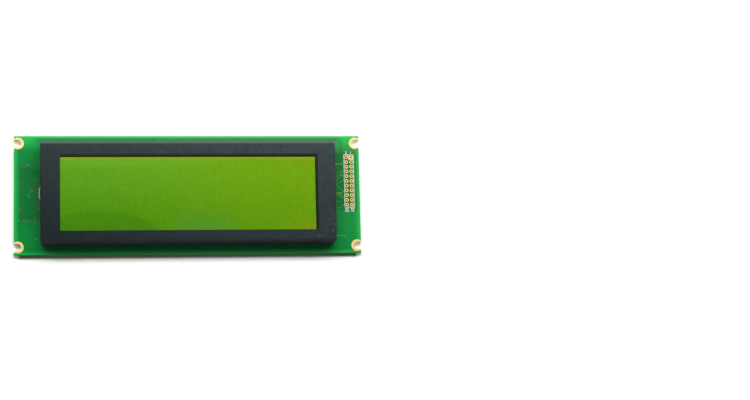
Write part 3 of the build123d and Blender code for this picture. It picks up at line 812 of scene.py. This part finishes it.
# Radius of a pad and of its hole
SUPPLY_PAD = (1.2, 0.51)
FRONT_VIA = (0.34, 0.12)
BACK_VIA = (0.3, 0.1)
SUPPLY_HOLES = ((71.4, 2.74, 0), (71.4, -2.34, 0))

FRONT_TRACES = (
    ((-80.6, 20.1), (-80.6, 15.6), (-81.9, 14.1)),
    ((-82.5, 16.0), (-85.2, 16.0), (-86.6, 15.1), (-87.1, 13.8), (-87.0, -13.0)),
    ((-83.2, 14.7), (-84.6, 14.7), (-85.6, 13.6), (-85.6, -12.8)),
    ((-82.5, 15.6), (-80.7, 14.2), (-74.5, 14.1)),
    ((-82.8, 14.4), (-82.9, 0.0)),
    ((-81.9, -0.9), (-81.9, 12.1), (-80.7, 13.4), (-74.5, 13.4)),
    ((-74.5, 8.6), (-79.5, 8.5), (-80.6, 7.5), (-80.8, 2.5)),
    ((-74.5, 7.9), (-78.9, 7.9), (-79.7, 7.0), (-79.65, -11.5), (-80.8, -13.0), (-84.8, -13.0)),
    ((-74.5, 7.3), (-78.1, 7.4), (-78.6, 6.8), (-78.6, -12.4), (-79.3, -13.2)),
    ((-77.6, 5.7), (-77.4, -7.1), (-77.5, -19.4), (-76.5, -20.7), (-74.5, -20.7)),
    ((-85.6, -14.05), (-77.5, -14.05)),
    ((-86.9, -14.5), (-78.7, -22.8)),
)
BORDER_TRACES = (
    ((-76.5, 21.5), (-76.5, 28.3), (-75.6, 29.6), (79.1, 29.7), (81.2, 27.9), (81.2, 23.4), (82.0, 22.5),
     (87.0, 22.4), (88.4, 21.0), (88.1, -9.6)),
    ((-75.6, 28.6), (78.3, 28.8), (80.2, 27.2), (80.0, 18.5), (81.0, 17.2), (82.3, 17.1)),
)
HEADER_TRACES = (
    ((74.5, 16.2), (82.4, 16.2)),
    ((74.5, 15.8), (81.6, 15.8)),
    ((81.6, 12.2), (79.4, 12.1), (77.5, 10.4), (74.5, 10.4)),
    ((74.5, 8.4), (77.0, 8.4), (81.5, 11.8)),
    ((74.5, 7.0), (77.6, 7.1), (81.0, 10.4), (82.4, 10.4)),
    ((74.5, 5.9), (79.7, 5.85), (81.4, 7.7), (82.4, 7.7)),
    ((74.5, 4.9), (77.9, 4.8), (81.2, 1.35), (82.4, 1.35)),
    ((74.5, 0.8), (81.3, 0.8)),
    ((74.5, 0.3), (80.6, 0.3)),
    ((74.5, -0.4), (80.3, -0.4)),
    ((78.9, -0.9), (79.6, -1.4), (80.9, -2.0), (82.3, -2.0)),
    ((74.5, -7.4), (79.4, -7.45), (81.5, -5.6), (82.3, -5.6)),
    ((74.5, -22.0), (81.2, -22.05), (83.1, -23.9)),
    ((81.2, -10.1), (81.9, -9.6), (85.0, -9.6)),
)
FRONT_VIAS = ((-80.6, 20.2), (-82.5, 15.7), (-80.85, 2.3), (-82.9, -0.1), (-81.85, -1.1), (-86.9, -7.7),
              (-77.4, -7.2), (-86.9, -13.4), (-84.8, -13.2), (-79.3, -13.2), (-78.7, -22.9),
              (80.1, 9.9), (81.2, 9.9), (80.4, -0.7), (77.9, -4.0), (79.1, -4.0))


def header_places():
    return [(x, HEADER_TOP - row * HEADER_PITCH) for row in range(HEADER_ROWS) for x in HEADER_COLUMNS]


def header_eyelets():
    """Plated holes with a pad on each face. Pin 1 has square pads."""
    eyelet = ring(0, 0, PAD_RADIUS, BORE_RADIUS, -PAD_EDGE, BOARD_BACK + PAD_EDGE, sides=20)
    places = header_places()
    piece = copies(eyelet, [(x, z, 9) for x, z in places[1:]], "header_eyelets")
    finish_piece(piece, "gold")
    x, z = places[0]
    plate = block((x, BOARD_BACK / 2, z), (FIRST_PAD, BOARD_BACK + 2 * PAD_EDGE, FIRST_PAD))
    bpy.ops.object.select_all(action="DESELECT")
    bpy.ops.mesh.primitive_cylinder_add(vertices=20, radius=BORE_RADIUS * MM, depth=4 * MM,
                                        location=Vector((x, 0, z)) * MM, rotation=(math.radians(90), 0, 0))
    drill = bpy.context.object
    take(plate)
    cut = plate.modifiers.new("bore", "BOOLEAN")
    cut.object = drill
    bpy.ops.object.modifier_apply(modifier=cut.name)
    bpy.data.objects.remove(drill)
    plate.name = "header_eyelet_first"
    finish_piece(plate, "gold")


def supply_eyelets():
    """The two plated holes for the backlight's wires."""
    eyelet = ring(0, 0, *SUPPLY_PAD, -PAD_EDGE, BOARD_BACK + PAD_EDGE)
    piece = copies(eyelet, SUPPLY_HOLES, "supply_eyelets")
    finish_piece(piece, "gold")


def resonator_pads():
    """A gold pad at each end of the resonator."""
    low, high = solids("resonator")[0]
    middle = (low.z + high.z) / 2
    pads = [block((x, BOARD_BACK + PAD_EDGE / 2, middle), (2.0, PAD_EDGE, 1.9), 0.02, 1)
            for x in (low.x - 1.1, high.x + 1.1)]
    finish_piece(join(pads, "resonator_pads"), "gold")


def front_copper():
    for name, lines, width, look in (("front_traces", FRONT_TRACES, 0.28, "trace"),
                                     ("border_traces", BORDER_TRACES, 0.42, "border trace"),
                                     ("header_traces", HEADER_TRACES, 0.32, "pale trace")):
        finish_piece(runs(name, lines, width, FRONT), look)
    via = ring(0, 0, *FRONT_VIA, -FOIL, 0, sides=10)
    piece = copies(via, [(x, z, 0) for x, z in FRONT_VIAS], "front_vias")
    finish_piece(piece, "via")


# The printed line round the header: how far it runs from the middle of a pad, beside and past the ends
WIND = 1.27
END_WIND = 1.35
PRINT_WIDTH = 0.42


def header_outline():
    """The printed line that winds round the header's pads."""
    outer, inner = HEADER_COLUMNS
    top = HEADER_TOP + END_WIND
    right, left = [], []
    for row in range(HEADER_ROWS):
        z = HEADER_TOP - row * HEADER_PITCH
        for step, reach in ((0.6, WIND), (-0.6, WIND), (-HEADER_PITCH / 2, WIND - 0.2)):
            right.append((outer + reach, z + step))
            left.append((inner - reach, z + step))
    right[-1] = (outer + WIND, HEADER_END - END_WIND)
    left[-1] = (inner - WIND, HEADER_END - END_WIND)
    return [(inner - WIND, top), (outer + WIND, top), *right, *reversed(left), (inner - WIND, top)]


def front_print():
    """White lines and plain numbers on the front."""
    outer, inner = HEADER_COLUMNS
    between = (outer + inner) / 2
    first = HEADER_TOP - HEADER_PITCH / 2
    lines = [header_outline(),
             [(between, HEADER_TOP + END_WIND), (between, first), (outer + WIND, first)],
             [(-74.8, 4.5), (-76.2, 4.4), (-76.9, 3.6), (-76.9, -1.6), (-76.2, -2.4), (-74.8, -2.5)]]
    finish_piece(runs("front_print", lines, PRINT_WIDTH, FRONT, INK), "ink")
    words = [("1", outer - 0.2, HEADER_TOP + 2.3, 0), ("2", inner, HEADER_TOP + 2.3, 0)]
    finish_piece(digits("front_numbers", words, 1.8, FRONT), "ink")
    words = [("21", outer + 0.2, HEADER_END - 2.7, 90), ("22", inner - 0.2, HEADER_END - 2.7, 90)]
    finish_piece(digits("front_numbers_low", words, 2.4, FRONT), "ink")


# Copper and print on the component side, seen with +X to the left

BACK_ROWS = (
    ((47.6, 21.7), (22.2, 21.7)), ((20.0, 21.7), (-54.6, 21.7)), ((-58.4, 21.7), (-72.3, 21.6)),
    ((51.3, 26.8), (48.1, 26.8)), ((27.6, 26.7), (20.8, 26.7)),
    ((-36.4, -5.0), (-53.9, -5.4)), ((-36.4, -7.0), (-53.9, -7.6)), ((-55.6, -6.5), (-57.0, -19.4)),
    ((-58.0, -21.0), (-71.9, -21.0)), ((66.4, -21.0), (60.6, -21.2)), ((56.3, 5.7), (52.5, 5.7)),
    ((15.0, 11.8), (10.8, 5.6)), ((-15.6, 12.4), (-20.0, 5.6)), ((-49.6, 13.0), (-52.6, 5.0)),
    ((-53.4, 12.6), (-59.4, 9.4)), ((-52.8, 4.2), (-56.4, -2.6)), ((76.0, 11.8), (79.4, 11.8)),
)
BACK_TRACES = (
    ((72.0, 27.4), (73.4, 29.0), (-74.8, 29.0), (-76.4, 27.6)),
    ((70.5, -28.8), (69.0, -30.0), (-78.0, -30.0)),
    ((45.7, -24.2), (-55.9, -24.2)),
    ((56.4, -29.0), (53.2, -29.0), (49.9, -25.6)),
    ((69.2, 6.6), (64.4, 1.8), (64.4, 1.2)), ((68.2, 6.6), (63.6, 2.0), (63.6, 1.2)),
    ((84.2, -7.4), (84.2, -10.2), (80.4, -14.2), (80.4, -21.6), (77.4, -22.6)),
    ((81.4, 18.4), (78.9, 18.4)), ((81.4, 15.2), (79.2, 15.2)),
    ((44.6, -2.0), (40.4, 2.2), (40.4, 20.8)), ((44.6, -3.2), (39.4, 2.0), (39.4, 20.8)),
    ((50.8, 8.8), (46.4, 13.2), (46.4, 20.8)), ((50.8, 11.2), (47.4, 14.6), (47.4, 20.8)),
    ((-74.8, -20.9), (-76.6, -19.4), (-76.6, -18.4)), ((-82.2, 2.2), (-82.2, -2.4)),
    ((-75.2, 11.2), (-72.6, 8.6), (-72.6, -11.4), (-74.6, -13.4), (-74.6, -16.4)),
)
BUS_LINES = 13
BUS_PITCH = 0.48
BUS_TOP = -16.4
# Traces round a drop: how many on a side, their first angle and its step in degrees, the first
# distance from the middle and its step, where they end above, and where below each drop
FAN_LINES = 13
FAN_ANGLES = (18, 5.6)
FAN_REACH = (3.4, 0.72)
FAN_TOP = 20.9
FAN_FLOORS = (-19.8, -4.4, -15.9, -15.9)


def zigzag(start, end, pitch=0.8, swing=0.38):
    """Points that step from side to side along a line."""
    start, run = Vector(start), Vector(end) - Vector(start)
    count = round(run.length / pitch)
    side = Vector((-run.y, run.x)).normalized() * swing
    return [tuple(start + run * step / count + (side if step % 2 else -side))
            for step in range(count + 1)]


def drop_places():
    """The middle x, the middle z and the radius of each driver drop, from the -X end to the +X end."""
    boxes = sorted(solids("driver_globs"), key=lambda box: box[0].x)
    return [((low.x + high.x) / 2, (low.z + high.z) / 2, (high.x - low.x) / 2) for low, high in boxes]


def fan(x, z, radius, floor):
    """Traces that leave a driver on both sides, turn at 45 degrees and run up or down."""
    lines = []
    for side in (-1, 1):
        for number in range(FAN_LINES):
            angle = math.radians(FAN_ANGLES[0] + FAN_ANGLES[1] * number)
            across, along = radius * math.sin(angle), radius * math.cos(angle)
            outer = FAN_REACH[0] + FAN_REACH[1] * number
            bend = along + outer - across
            for sign, end in ((1, FAN_TOP), (-1, floor)):
                if (end - z) * sign > bend + 0.4:
                    start = (x + side * across, z + sign * along)
                    lines.append([start, (x + side * outer, z + sign * bend), (x + side * outer, end)])
    return lines


def bus():
    """The pale band of long parallel traces above the lower slots."""
    lines = []
    for number in range(BUS_LINES):
        z = BUS_TOP - number * BUS_PITCH
        lines.append([(65.2, z), (-45.4 - 0.6 * number, z), (-51.8, z + 6.4 - 0.6 * number)])
    return lines


def header_turns():
    """Traces that leave the header's inner column and turn down one inside the other."""
    lines = []
    for number in range(8):
        z = HEADER_TOP - (4.6 + number * 0.78) * HEADER_PITCH
        x = 71.2 + number * 0.82
        lines.append([(HEADER_COLUMNS[1] - 0.9, z), (x + 1.2, z), (x, z - 1.2), (x, -6.0 - 0.2 * number)])
    return lines


def back_copper():
    """Plated holes in winding rows and the traces that join them."""
    winding = [zigzag(*row) for row in BACK_ROWS]
    via = ring(0, 0, *BACK_VIA, BOARD_BACK, BOARD_BACK + FOIL, sides=8)
    piece = copies(via, [(x, z, 0) for row in winding for x, z in row], "back_vias")
    finish_piece(piece, "via")
    fans = [line for (x, z, radius), floor in zip(drop_places(), FAN_FLOORS)
            for line in fan(x, z, radius + 1.3, floor)]
    for name, lines, width, height, look in (
            ("back_rows", winding, 0.2, FOIL, "via"),
            ("back_traces", [*BACK_TRACES, *header_turns()], 0.3, FOIL, "trace"),
            ("driver_traces", fans, 0.16, LOW_FOIL, "pour"),
            ("bus_traces", bus(), 0.24, LOW_FOIL, "bus")):
        finish_piece(runs(name, lines, width, BACK, height), look)


# Where the plain numbers stand, counted from 1
NUMBER_PLACES = (
    (77.7, 29.8), (72.3, 24.4), (72.4, 21.6), (72.6, 18.2), (72.2, 15.2), (77.6, 12.6), (73.1, 7.6),
    (74.4, 2.7), (74.4, -2.3), (70.0, -7.2), (80.4, -4.9), (82.4, -9.4), (76.6, -12.2), (83.2, -14.6),
    (82.9, -20.4), (69.2, -18.6), (69.0, -23.0), (77.3, -29.4), (45.6, -24.1), (49.4, 13.4), (43.6, 2.6),
    (24.4, 18.7), (-4.3, 18.7), (-40.4, 18.7), (-64.1, 9.4), (12.0, 0.4), (-17.2, 0.7), (-61.0, -13.6),
    (-74.1, 27.0), (-77.6, 27.8), (-80.6, 27.0), (-71.9, 20.2), (-79.2, 20.4), (-85.8, 20.4), (-70.4, 14.6),
    (-79.4, 7.4), (-86.0, 7.4), (-75.2, -0.6), (-83.6, 0.2), (-70.4, -14.6), (-76.4, -13.2), (-82.2, -13.4),
    (-88.1, -13.2), (-73.3, -20.6), (-76.2, -20.0), (-79.0, -20.0), (-82.0, -20.0), (-85.0, -20.0),
    (-88.2, -20.0), (-76.5, -29.4),
)
# Printed frames: how far their corners are cut, and the room at the ends and the sides of each part
CUT = 0.4
OUTLINED = (
    ("chip_resistors", 0.8, 0.42), ("chip_capacitors", 0.8, 0.42), ("glass_diodes", 0.95, 0.42),
    ("tantalum_capacitors_small", 1.0, 0.42), ("tantalum_capacitors_large", 1.0, 0.42),
    ("converter_chips", 0.35, -0.25), ("op_amp_chip", 0.35, -0.25), ("memory_chip", 0.35, -0.25),
    ("resonator", 2.6, 1.1),
)


def outline(low, high, end_margin, side_margin):
    """A printed frame round a part, with more room at the ends than along the sides."""
    room = (side_margin, end_margin) if is_upright(low, high) else (end_margin, side_margin)
    left, right, down, up = low.x - room[0], high.x + room[0], low.z - room[1], high.z + room[1]
    return [(left, down + CUT), (left + CUT, down), (right - CUT, down), (right, down + CUT),
            (right, up - CUT), (right - CUT, up), (left + CUT, up), (left, up - CUT), (left, down + CUT)]


def back_print():
    """White frames round the parts, rings round the drops and plain numbers."""
    lines = []
    for node, end_margin, side_margin in OUTLINED:
        lines += [outline(low, high, end_margin, side_margin) for low, high in solids(node)]
    low, high = solids("controller_chip")[0]
    for x, z, right, up in ((high.x, high.z, 1, 1), (low.x, high.z, -1, 1), (high.x, low.z, 1, -1)):
        corner = (x + 0.6 * right, z + 0.6 * up)
        lines.append([(corner[0] - 1.8 * right, corner[1]), corner, (corner[0], corner[1] - 1.8 * up)])
    left, right = HEADER_COLUMNS[1] - 1.5, HEADER_COLUMNS[0] + 1.5
    down, up = HEADER_END - 1.5, HEADER_TOP + 1.5
    lines.append([(right, down), (left, down), (left, up), (right, up), (right, down)])
    finish_piece(runs("back_print", lines, 0.36, BACK, INK), "ink")
    rings = [ring(x, z, radius + 0.8, radius - 0.05, BOARD_BACK, BOARD_BACK + INK, sides=72)
             for x, z, radius in drop_places()]
    finish_piece(join(rings, "driver_rings"), "ink")
    words = [(str(number), x, z, 0) for number, (x, z) in enumerate(NUMBER_PLACES, 1)]
    finish_piece(digits("back_numbers", words, 1.9, BACK), "ink")


# Solder and ends of the small parts

# Chips with their leads, and the length and width of the solder under a lead
LEADED = (("controller_chip", "controller_leads", 1.5, 0.44), ("memory_chip", "memory_leads", 1.5, 0.66),
          ("op_amp_chip", "op_amp_leads", 1.3, 0.66), ("converter_chips", "converter_leads", 1.3, 0.66),
          ("transistor", "transistor_leads", 1.0, 0.8), ("resonator", "resonator_feet", 1.0, 0.95))
TANTALUMS = ("tantalum_capacitors_small", "tantalum_capacitors_large")
TOE = 0.35


def lead_ends(chips, leads):
    """The outer end of each lead, as x, z and the turn that points away from the lead's own chip."""
    bodies = [box for chip in chips for box in solids(chip)]
    ends = []
    for low, high in solids(leads):
        middle = (low + high) / 2
        body_low, body_high = min(bodies, key=lambda box: ((box[0] + box[1]) / 2 - middle).length)
        if low.z > body_high.z - 0.05:
            ends.append((middle.x, high.z, 270))
        elif high.z < body_low.z + 0.05:
            ends.append((middle.x, low.z, 90))
        elif low.x > body_high.x - 0.05:
            ends.append((high.x, middle.z, 0))
        else:
            ends.append((low.x, middle.z, 180))
    return ends


def solder_foot(length, width, height=0.12):
    """Solder under a lead's foot: a low block with drawn-in sides. The lead ends at x = 0."""
    piece = block((TOE - length / 2, BOARD_BACK + height / 2, 0), (length, height, width))
    faces_where(piece, lambda centre, normal: normal.y > 0.9)
    middle = Vector((TOE - length / 2, BOARD_BACK + height, 0)) * MM
    bpy.ops.transform.resize(value=(0.82, 1, 0.62), center_override=middle)
    bpy.ops.object.mode_set(mode="OBJECT")
    return piece


def lead_solder():
    for chip, leads, length, width in LEADED:
        piece = copies(solder_foot(length, width), lead_ends([chip], leads), f"{leads}_solder")
        finish_piece(piece, "solder")


def chip_end(height, width):
    """The tinned end of a chip part, its solder and its pad. The chip ends at x = 0."""
    cap = block((-0.2, BOARD_BACK + height / 2 + 0.01, 0), (0.48, height + 0.03, width + 0.04), 0.06)
    slope = block((0.2, BOARD_BACK + 0.18, 0), (0.42, 0.36, width * 0.94))
    faces_where(slope, lambda centre, normal: normal.x > 0.9)
    bpy.ops.transform.resize(value=(1, 0.15, 0.9), center_override=Vector((0.41, BOARD_BACK, 0)) * MM)
    bpy.ops.object.mode_set(mode="OBJECT")
    pad = block((0.12, BOARD_BACK + 0.02, 0), (1.15, 0.04, width + 0.2), 0.02, 1)
    return join([cap, slope, pad], "chip_end")


def part_ends(node):
    """Both ends of each part of a node: x, z and the turn that points outwards."""
    ends = []
    for low, high in solids(node):
        middle = (low + high) / 2
        if is_upright(low, high):
            ends += [(middle.x, low.z, 90), (middle.x, high.z, 270)]
        else:
            ends += [(high.x, middle.z, 0), (low.x, middle.z, 180)]
    return ends


def chip_ends():
    for node in ("chip_resistors", "chip_capacitors"):
        low, high = solids(node)[0]
        width = min(high.x - low.x, high.z - low.z)
        piece = copies(chip_end(high.y - low.y, width), part_ends(node), f"{node}_ends")
        finish_piece(piece, "solder")
    pads = copies(solder_foot(1.9, 1.7, 0.16), part_ends("glass_diodes"), "diode_solder")
    finish_piece(pads, "solder")
    pads = copies(solder_foot(1.3, 2.0, 0.2), lead_ends(TANTALUMS, "tantalum_terminals"), "tantalum_solder")
    finish_piece(pads, "solder")


def tantalum_stripes():
    """A stripe across the end of each tantalum case."""
    stripes = []
    for low, high in solids(TANTALUMS[0]) + solids(TANTALUMS[1]):
        size = Vector((high.x - low.x - 0.5, 0.02, high.z - low.z - 0.5))
        centre = Vector(((low.x + high.x) / 2, high.y, (low.z + high.z) / 2))
        if is_upright(low, high):
            centre.z -= size.z / 2 - 0.4
            size.z = 0.8
        else:
            centre.x += size.x / 2 - 0.4
            size.x = 0.8
        stripes.append(block(centre, size))
    finish_piece(join(stripes, "tantalum_stripes"), "stripe")


def diode_bands():
    """A dark band round the end of each diode."""
    bands = []
    for low, high in solids("glass_diodes"):
        end, radius = (low + high) / 2, (high.y - low.y) / 2
        band = ring(0, 0, radius + 0.03, radius - 0.05, 0, 0.7)
        if is_upright(low, high):
            end.z = low.z + 0.75
            turn = Matrix.Rotation(math.radians(90), 4, "X")
        else:
            end.x = low.x + 0.05
            turn = Matrix.Rotation(math.radians(-90), 4, "Z")
        band.data.transform(Matrix.Translation(end * MM) @ turn)
        bands.append(band)
    finish_piece(join(bands, "diode_bands"), "drop")


def chip_dimples():
    """A round dimple near one corner of each chip, at its own distance from the edges."""
    dimples = []
    for chip, reach in (("controller_chip", 1.6), ("memory_chip", 1.5), ("op_amp_chip", 0.9),
                        ("converter_chips", 0.9)):
        for low, high in solids(chip):
            x, z, top = high.x - reach, low.z + reach, high.y
            dimples.append(ring(x, z, 0.45, 0.36, top - 0.05, top + 0.02, sides=20))
    finish_piece(join(dimples, "chip_dimples"), "epoxy")


# Epoxy drops over the driver dies

# The dome in steps: how much each one rises, and the share of the radius that it keeps
DROP_STEPS = ((0.35, 0.985), (0.35, 0.94), (0.3, 0.87), (0.22, 0.76), (0.15, 0.6), (0.09, 0.38))


def epoxy_drops():
    """Smooth domes with the outline and height of their CAD solids."""
    for number, (low, high) in enumerate(solids("driver_globs"), 1):
        radius, centre = (high.x - low.x) / 2, (low + high) / 2
        bpy.ops.object.select_all(action="DESELECT")
        bpy.ops.mesh.primitive_circle_add(
            vertices=64, radius=radius * MM, fill_type="NGON",
            location=Vector((centre.x, low.y, centre.z)) * MM, rotation=(math.radians(-90), 0, 0))
        drop = settle(bpy.context.object, f"driver_drop_{number}")
        bpy.ops.object.mode_set(mode="EDIT")
        bpy.ops.mesh.select_all(action="SELECT")
        height, reach = 0.0, 1.0
        for rise, share in DROP_STEPS:
            bpy.ops.mesh.extrude_region_move(TRANSFORM_OT_translate={"value": (0, rise * MM, 0)})
            height += rise
            bpy.ops.transform.resize(value=(share / reach, 1, share / reach),
                                     center_override=Vector((centre.x, low.y + height, centre.z)) * MM)
            reach = share
        bpy.ops.mesh.poke(offset=0.02 * MM)
        bpy.ops.mesh.select_all(action="SELECT")
        bpy.ops.mesh.normals_make_consistent(inside=False)
        bpy.ops.object.mode_set(mode="OBJECT")
        smooth(drop, 60)
        finish_piece(drop, "drop")
        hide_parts("driver_globs")


# Stage, lamps and world

def mix_shaders(tree, first, second, factor):
    return add_node(tree, "ShaderNodeMixShader", {0: factor, 1: first, 2: second}).outputs[0]


def one_sided(name, colour):
    """The parts of a pale material that can't be seen from behind."""
    material = bpy.data.materials.new(name)
    tree = empty_tree(material)
    noise = add_node(tree, "ShaderNodeTexNoise", {"Scale": 4.0})
    darker = tuple(0.985 * part for part in colour[:3]) + (1,)
    tint = blend_colours(tree, noise.outputs[0], colour, darker)
    pale = add_node(tree, "ShaderNodeBsdfDiffuse", {"Color": tint}).outputs[0]
    clear = add_node(tree, "ShaderNodeBsdfTransparent").outputs[0]
    behind = add_node(tree, "ShaderNodeNewGeometry").outputs["Backfacing"]
    out = tree.nodes.new("ShaderNodeOutputMaterial")
    return material, tree, pale, clear, behind, out


CARD_GAP = 2.6
CARD_REACH = 26.0
CARD_DARK = (0.02, 0.015, 0.01, 1)
CARD_BROWN = (0.36, 0.3, 0.27, 1)
# Shade on the card, one after another: soft greys in the inner corners of the notches, a brown band
# under the board's lower edge, and dark behind the board. Each row has the shader, the colour,
# the middle's x and z, half the width, half the height and the softness
CARD_SHADE = (
    ("ShaderNodeEmission", linear(186, 184, 166), -86.0, 28.4, 1.2, 0.2, 2.6),
    ("ShaderNodeEmission", linear(132, 127, 110), -85.9, -24.9, 1.2, 1.1, 3.2),
    ("ShaderNodeEmission", linear(214, 208, 194), 86.0, 28.4, 1.2, 0.2, 2.6),
    ("ShaderNodeEmission", linear(186, 178, 158), 85.9, -24.9, 1.2, 1.1, 3.2),
    ("ShaderNodeBsdfDiffuse", CARD_BROWN, 0.0, -31.2, 86.9, 1.15, 1.5),
    ("ShaderNodeBsdfDiffuse", CARD_DARK, 0.0, -0.2, 84.4, 30.2, 0.7),
    ("ShaderNodeBsdfDiffuse", CARD_DARK, 0.0, 0.0, 89.0, 22.4, 0.6),
)
FLOOR_GAP = 0.02
FLOOR_REACH = (150.0, 420.0)


def make_floor():
    """A pale floor under the board's lower edge. It can't be seen from below."""
    bpy.ops.object.select_all(action="DESELECT")
    bpy.ops.mesh.primitive_plane_add(size=6, location=(0, 0, (board_low.z - FLOOR_GAP) * MM))
    floor = settle(bpy.context.object, "floor")
    material, tree, pale, clear, behind, out = one_sided("floor_paper", (0.95, 0.95, 0.95, 1))
    place = tree.nodes.new("ShaderNodeTexCoord").outputs["Object"]
    distance = vector_node(tree, "LENGTH", {0: place}).outputs["Value"]
    far = ramp(tree, distance, FLOOR_REACH[0] * MM, FLOOR_REACH[1] * MM)
    hidden = math_node(tree, "MAXIMUM", behind, far)
    tree.links.new(mix_shaders(tree, pale, clear, hidden), out.inputs["Surface"])
    floor.data.materials.append(material)
    floor.visible_shadow = False
    floor.visible_diffuse = False


def make_card():
    """A white card close behind the board. It takes the soft shadow and fades out round the module."""
    bpy.ops.object.select_all(action="DESELECT")
    bpy.ops.mesh.primitive_plane_add(
        size=1, location=(0, CARD_GAP * MM, 0), rotation=(math.radians(90), 0, 0))
    card = bpy.context.object
    card.scale = ((board_high.x - board_low.x + 4 * CARD_REACH) * MM,
                  (board_high.z - board_low.z + 4 * CARD_REACH) * MM, 1)
    settle(card, "backdrop_card")
    material, tree, pale, clear, behind, out = one_sided("card_paper", (1.3, 1.3, 1.3, 1))
    place = tree.nodes.new("ShaderNodeTexCoord").outputs["Object"]
    for kind, colour, *field in CARD_SHADE:
        shaded = add_node(tree, kind, {"Color": colour}).outputs[0]
        pale = mix_shaders(tree, pale, shaded, field_mask(tree, place, *field))
    inside = field_mask(tree, place, 0, 0, board_high.x + 6, board_high.z + 6, CARD_REACH)
    hidden = math_node(tree, "MAXIMUM", behind, math_node(tree, "SUBTRACT", 1.0, inside))
    tree.links.new(mix_shaders(tree, pale, clear, hidden), out.inputs["Surface"])
    card.data.materials.append(material)
    card.visible_diffuse = False
    card.visible_transmission = False
    card.visible_shadow = False


# Soft rectangular lamps that look at the board's middle: the name, the place, the width, the height,
# the light that falls on the middle, and whether gloss shows the lamp
LAMPS = (
    ("front_softbox", (0, -530, 280), 900, 110, 0.86, True),
    ("front_strip", (40, -120, 110), 300, 40, 0.14, True),
    ("front_low_fill", (0, -900, 285), 900, 260, 0.12, False),
    ("under_fill", (0, -30, -300), 300, 60, 0.25, False),
    ("back_softbox", (-150, 520, 330), 600, 300, 0.7, True),
    ("back_low_fill", (0, 620, -120), 1500, 260, 0.16, True),
)


def make_lamps():
    for name, place, width, height, light, in_gloss in LAMPS:
        place = Vector(place) * MM
        bpy.ops.object.light_add(type="AREA", location=place)
        lamp = bpy.context.object
        lamp.name = name
        lamp.rotation_mode = "QUATERNION"
        lamp.rotation_quaternion = (-place).to_track_quat("-Z", "Y")
        lamp.data.shape = "RECTANGLE"
        lamp.data.size = width * MM
        lamp.data.size_y = height * MM
        lamp.data.energy = light * (math.pi * place.length) ** 2
        lamp.visible_glossy = in_gloss


def make_world():
    """White to the camera, and a studio that is brighter overhead in gloss and as light."""
    world = bpy.data.worlds.new("studio")
    bpy.context.scene.world = world
    tree = empty_tree(world)
    up = split(tree, tree.nodes.new("ShaderNodeTexCoord").outputs["Generated"])[2]
    path = tree.nodes.new("ShaderNodeLightPath")
    clear = math_node(tree, "MAXIMUM", path.outputs["Is Camera Ray"], path.outputs["Is Transmission Ray"])
    seen = math_node(tree, "MAXIMUM", clear, path.outputs["Is Glossy Ray"])
    light = ramp(tree, up, -0.3, 0.9, 0.05, 0.6)
    gloss = math_node(tree, "MAXIMUM", clear, ramp(tree, up, 0.05, 0.95, 0.04, 1.0))
    soft, white = (add_node(tree, "ShaderNodeBackground", {"Color": (1, 1, 1, 1), "Strength": strength})
                   for strength in (light, gloss))
    out = tree.nodes.new("ShaderNodeOutputWorld")
    tree.links.new(mix_shaders(tree, soft.outputs[0], white.outputs[0], seen), out.inputs["Surface"])


make_camera()
dress_nodes()
header_eyelets()
supply_eyelets()
resonator_pads()
front_copper()
front_print()
back_copper()
back_print()
lead_solder()
chip_ends()
tantalum_stripes()
diode_bands()
chip_dimples()
epoxy_drops()
make_floor()
make_card()
make_world()
make_lamps()

scene = bpy.context.scene
scene.view_settings.view_transform = "Standard"
